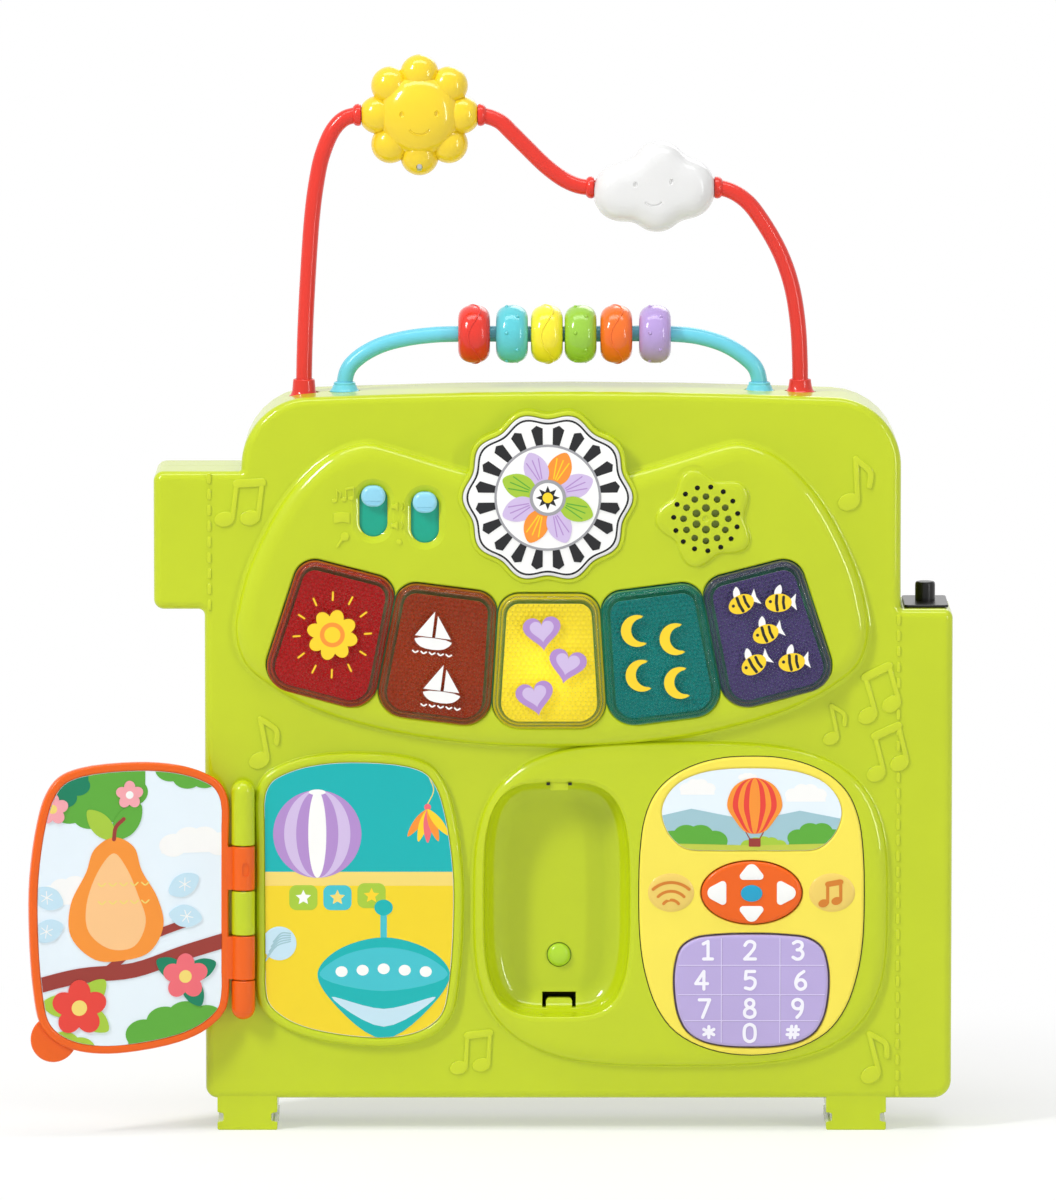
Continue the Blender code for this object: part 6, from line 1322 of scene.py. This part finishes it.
# Wires and what rides on them
WIRE_RADIUS = 4.0
BEAD_UP = 397.0
ROUTES = {
    "red": (
        (-123.8, 345.3), (-123.8, 368.0), (-123.4, 390.0), (-122.0, 420.9), (-119.5, 456.6),
        (-117.3, 473.2), (-114.5, 486.2), (-109.0, 499.0), (-103.5, 504.6), (-96.6, 506.5),
        (-90.0, 506.5), (-66.0, 506.5), (-42.0, 506.5), (-35.6, 506.5), (-26.5, 503.5),
        (-20.0, 497.5), (-13.0, 490.5), (-3.0, 480.8), (6.0, 474.2), (13.0, 471.2),
        (19.4, 470.3), (30.0, 470.3), (51.0, 470.3), (72.0, 470.3), (82.2, 470.3),
        (89.0, 468.6), (97.0, 463.3), (105.0, 453.0), (114.0, 436.9), (119.5, 420.8),
        (122.5, 402.7), (123.6, 384.6), (123.8, 368.0), (123.8, 347.3)),
    "blue": (
        (-103.5, 347.8), (-103.5, 366.0), (-103.4, 373.5), (-101.4, 380.0), (-96.0, 385.6),
        (-86.0, 391.2), (-73.5, 394.7), (-60.0, 396.5), (-49.0, 397.0), (6.0, 397.0),
        (61.0, 397.0), (74.0, 395.5), (86.5, 391.5), (95.8, 385.7), (101.4, 380.0),
        (103.4, 373.5), (103.5, 366.0), (103.5, 347.8))}
COLLARS = {"red": ((-96.6, 506.5, ALONG_ACROSS), (-35.6, 506.5, ALONG_BACK),
                   (19.4, 470.3, ALONG_ACROSS), (82.2, 470.3, ALONG_BACK)), "blue": ()}


def wires():
    collar = [(3.9, -2.6), (4.5, -2.2), (5.3, -1.3), (5.6, 0), (5.3, 1.2), (4.6, 1.5), (3.9, 1.5)]
    for colour, paint, _, _, _ in WIRE_FEET:
        wire = tube([(*point, 0) for point in smooth(ROUTES[colour], 8, False)], WIRE_RADIUS, 8)
        for across, up, along in COLLARS[colour]:
            wire = together(wire, turned(collar, 40, True, (across, up, 0), along))
        piece(f"{colour}_tube", wire, paint, "panel", [f"{colour}_wire"])
    for colour, paint, reach, seats, top in WIRE_FEET:
        for side, across, seat in (("left", -reach, seats[0]), ("right", reach, seats[1])):
            tall = top - seat
            profile = [(4.3, tall), (5.0, tall), (5.4, tall - 0.4), (5.5, tall - 1.4), (5.9, 3.4),
                       (6.6, 1.6), (7.3, 1.0), (7.4, 0.4), (7.3, 0.0), (4.3, 0.0)]
            ferrule = turned(profile, 48, True, (across, seat + 0.3, 0), ALONG_UP)
            piece(f"{colour}_foot_{side}", ferrule, paint, "panel",
                  [f"{colour}_ferrule_{side}"])


def beads():
    """Six rings; every other one has a raised wavy line and the rest have raised dots."""
    profile = [(4.5, 6.2), (4.9, 7.3), (6.1, 7.9)]
    for angle in sweep(78, -78, 12):
        c, s = math.cos(angle), math.sin(angle)
        profile.append((6.6 + 7.9 * abs(c) ** 0.75, 8.1 * math.copysign(abs(s) ** 0.9, s)))
    profile += [(6.1, -7.9), (4.9, -7.3), (4.5, -6.2)]
    for name, colour, across, line in (
            ("red", RED, -38.9, True), ("blue", (0.10, 0.55, 0.62), -20.0, False),
            ("yellow", (0.90, 0.76, 0.03), -2.6, True), ("green", (0.30, 0.56, 0.05), 14.2, False),
            ("orange", (0.86, 0.16, 0.015), 32.0, True),
            ("lilac", (0.45, 0.32, 0.66), 51.3, False)):
        shape = turned(profile, 64, True, (across, BEAD_UP, 0), ALONG_ACROSS)
        if line:
            points = []
            for angle in around(96):
                shift = 3.0 * math.sin(3 * angle)
                radius = 14.5 - 0.028 * shift * shift
                points.append((across + shift, *polar(BEAD_UP, 0, radius, angle)))
            shape = together(shape, tube(points, 0.45, 3, True))
        else:
            for k, angle in enumerate(around(10, 0.3)):
                spot = (across + (2.6 if k % 2 else -2.6), *polar(BEAD_UP, 0, 14.1, angle))
                shape = together(shape, ball(spot, (0.95, 0.95, 0.95), 16, 8))
        paint = finish(f"bead_{name}", colour, 0.16, coat=0.5)
        piece(f"bead_{name}_ring", shape, paint, f"bead_{name}", [f"bead_{name}"])


def two_halves(name, shape, paint, place):
    """Part a solid at its middle plane with the mould's seam."""
    bmesh.ops.translate(shape, vec=place, verts=shape.verts)
    for side, sign in (("front", 1), ("back", -1)):
        half = shape.copy()
        bmesh.ops.bisect_plane(
            half, geom=everything(half), plane_co=(0, 0, sign * 0.12), plane_no=(0, 0, -sign),
            clear_outer=True)
        bmesh.ops.holes_fill(half, edges=open_rim(half), sides=0)
        piece(f"{name}_{side}_shell", capped(half), paint, name, [f"{name}_{side}"])
    shape.free()


def dimples(shape, eyes, smile):
    """Two round hollows and a curved groove pressed into the front of a shape."""
    tree = BVHTree.FromBMesh(shape)

    def pressed(place, above):
        hit = tree.ray_cast(Vector((*place, 60)), Vector((0, 0, -1)))[0]
        return (*place, hit.z + above)

    across, up, radius, half = smile
    groove = [pressed(polar(across, up, radius, angle), 0.15)
              for angle in sweep(270 - half, 270 + half, 16)]
    tools = [ball(pressed(eye, 0.25), (1.25, 1.7, 1.2), 20, 10) for eye in eyes]
    return cut(*tools, tube(groove, 0.65, 4))


def trimmed(reach):
    """Bore a shape for the wire and cut its ends flat."""
    return cut(
        rod(4.6, (-40, 0, 0), (40, 0, 0), 40), block((reach, -30, -30), (60, 30, 30)),
        block((-60, -30, -30), (-reach, 30, 30)))


def cloud_outline():
    """The outer edge of four overlapping lobes, with its valleys softened."""
    lobes = ((2.6, 9.9, 13.6, 13.6), (-16.6, -2.4, 14.2, 14.8), (17.0, -0.6, 13.8, 15.0),
             (1.4, -9.0, 13.4, 13.4), (0.0, 0.0, 24.0, 16.0))
    reaches = []
    for angle in around(120):
        c, s = math.cos(angle), math.sin(angle)
        best = 0.0
        for x, y, wide, high in lobes:
            a = (c / wide) ** 2 + (s / high) ** 2
            b = c * x / wide ** 2 + s * y / high ** 2
            inside = b * b - a * ((x / wide) ** 2 + (y / high) ** 2 - 1)
            if inside > 0:
                best = max(best, (b + math.sqrt(inside)) / a)
        reaches.append(best)
    for _ in range(10):
        reaches = [(reaches[k - 1] + 2 * reaches[k] + reaches[(k + 1) % 120]) / 4
                   for k in range(120)]
    return [polar(0, 0, reach, angle) for reach, angle in zip(reaches, around(120))]


def sun_and_cloud():
    profile = [(0, 12.9)]
    for k in range(1, 36):
        angle = math.pi / 2 - math.pi * k / 36
        c, s = math.cos(angle), math.sin(angle)
        profile.append((20.6 * c ** 0.80, 12.9 * math.copysign(abs(s) ** 0.90, s)))
    face = turned(profile + [(0, -12.9)], 72)
    petals = [ball((*polar(0, 0, 20.6, angle), 0), (9.6, 9.6, 8.6), 40, 20, 0.3 * k)
              for k, angle in enumerate(around(8))]
    steps = add(*petals) + dimples(face, ((-8.8, 1.0), (8.7, 1.5)), (0.1, -2.6, 6.4, 52))
    steps += trimmed(28.8) + cut(rod(1.6, (0, -25.5, 3.5), (0, -25.5, 20), 24))
    two_halves("sun", carved(face, *steps), YELLOW_GLOSS, (-66.0, 506.5, 0))
    body = loose(slab(cloud_outline(), -12.9, 12.9, front=10.6, back=10.6, steps=10))
    remesh = body.modifiers.new("even", "REMESH")
    remesh.mode = "VOXEL"
    remesh.voxel_size = 0.8
    relax = body.modifiers.new("relax", "SMOOTH")
    relax.factor = 0.5
    relax.iterations = 60
    soft = settled(body)
    steps = dimples(soft, ((-9.4, 2.4), (8.6, 3.8)), (-0.4, -2.6, 5.6, 48)) + trimmed(29.8)
    two_halves("cloud", carved(soft, *steps), WHITE_GLOSS, (50.8, 470.3, 0))


def peg():
    plate = lofted(box_outline(PEG_ACROSS, 0, 22.0, 44.0, 2.0), [
        (0, 262.3), (0, 263.2), (0.3, 263.5)])
    bmesh.ops.transform(plate, matrix=ALONG_UP, verts=plate.verts)
    profile = [(0, 244.3), (5.0, 244.3), (5.0, 271.2), (4.9, 272.2), (4.4, 272.9), (3.4, 273.1),
               (0, 273.1)]
    post = turned(profile, 40, place=(PEG_ACROSS, 0, 0), along=ALONG_UP)
    piece("peg_and_plate", carved(plate, *add(post)), BLACK_PLASTIC, "panel", ["hinge_peg"])


def dress_nodes():
    """Finishes of the CAD nodes that stay in view."""
    for paint, names in (
            (LIME_PLASTIC, ("rear_housing", "battery_door", "speaker_baffle")),
            (BLACK_PLASTIC, ("speaker",)), (WRAP, ("battery_1", "battery_2", "battery_3")),
            (BOARD, ("main_circuit_board", "key_contact_board")),
            (BARE_STEEL, ("door_hinge_pin", "battery_door_screw", "sun_screw",
                          *[f"housing_screw_{k}" for k in range(1, 7)]))):
        for name in names:
            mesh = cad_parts[name].data
            mesh.materials.clear()
            mesh.materials.append(paint)


studio()
front_shell()
body_reliefs()
phone_fascia()
phone_controls()
picture("phone", WINDOW_EDGE, 35.9, "panel", landscape, "phone_picture_card")
picture("left", offset(BEZEL_EDGE, 4.8), 33.85, "panel", nursery, "left_picture_card")
badge()
keys()
controls()
door()
wires()
beads()
sun_and_cloud()
peg()
dress_nodes()
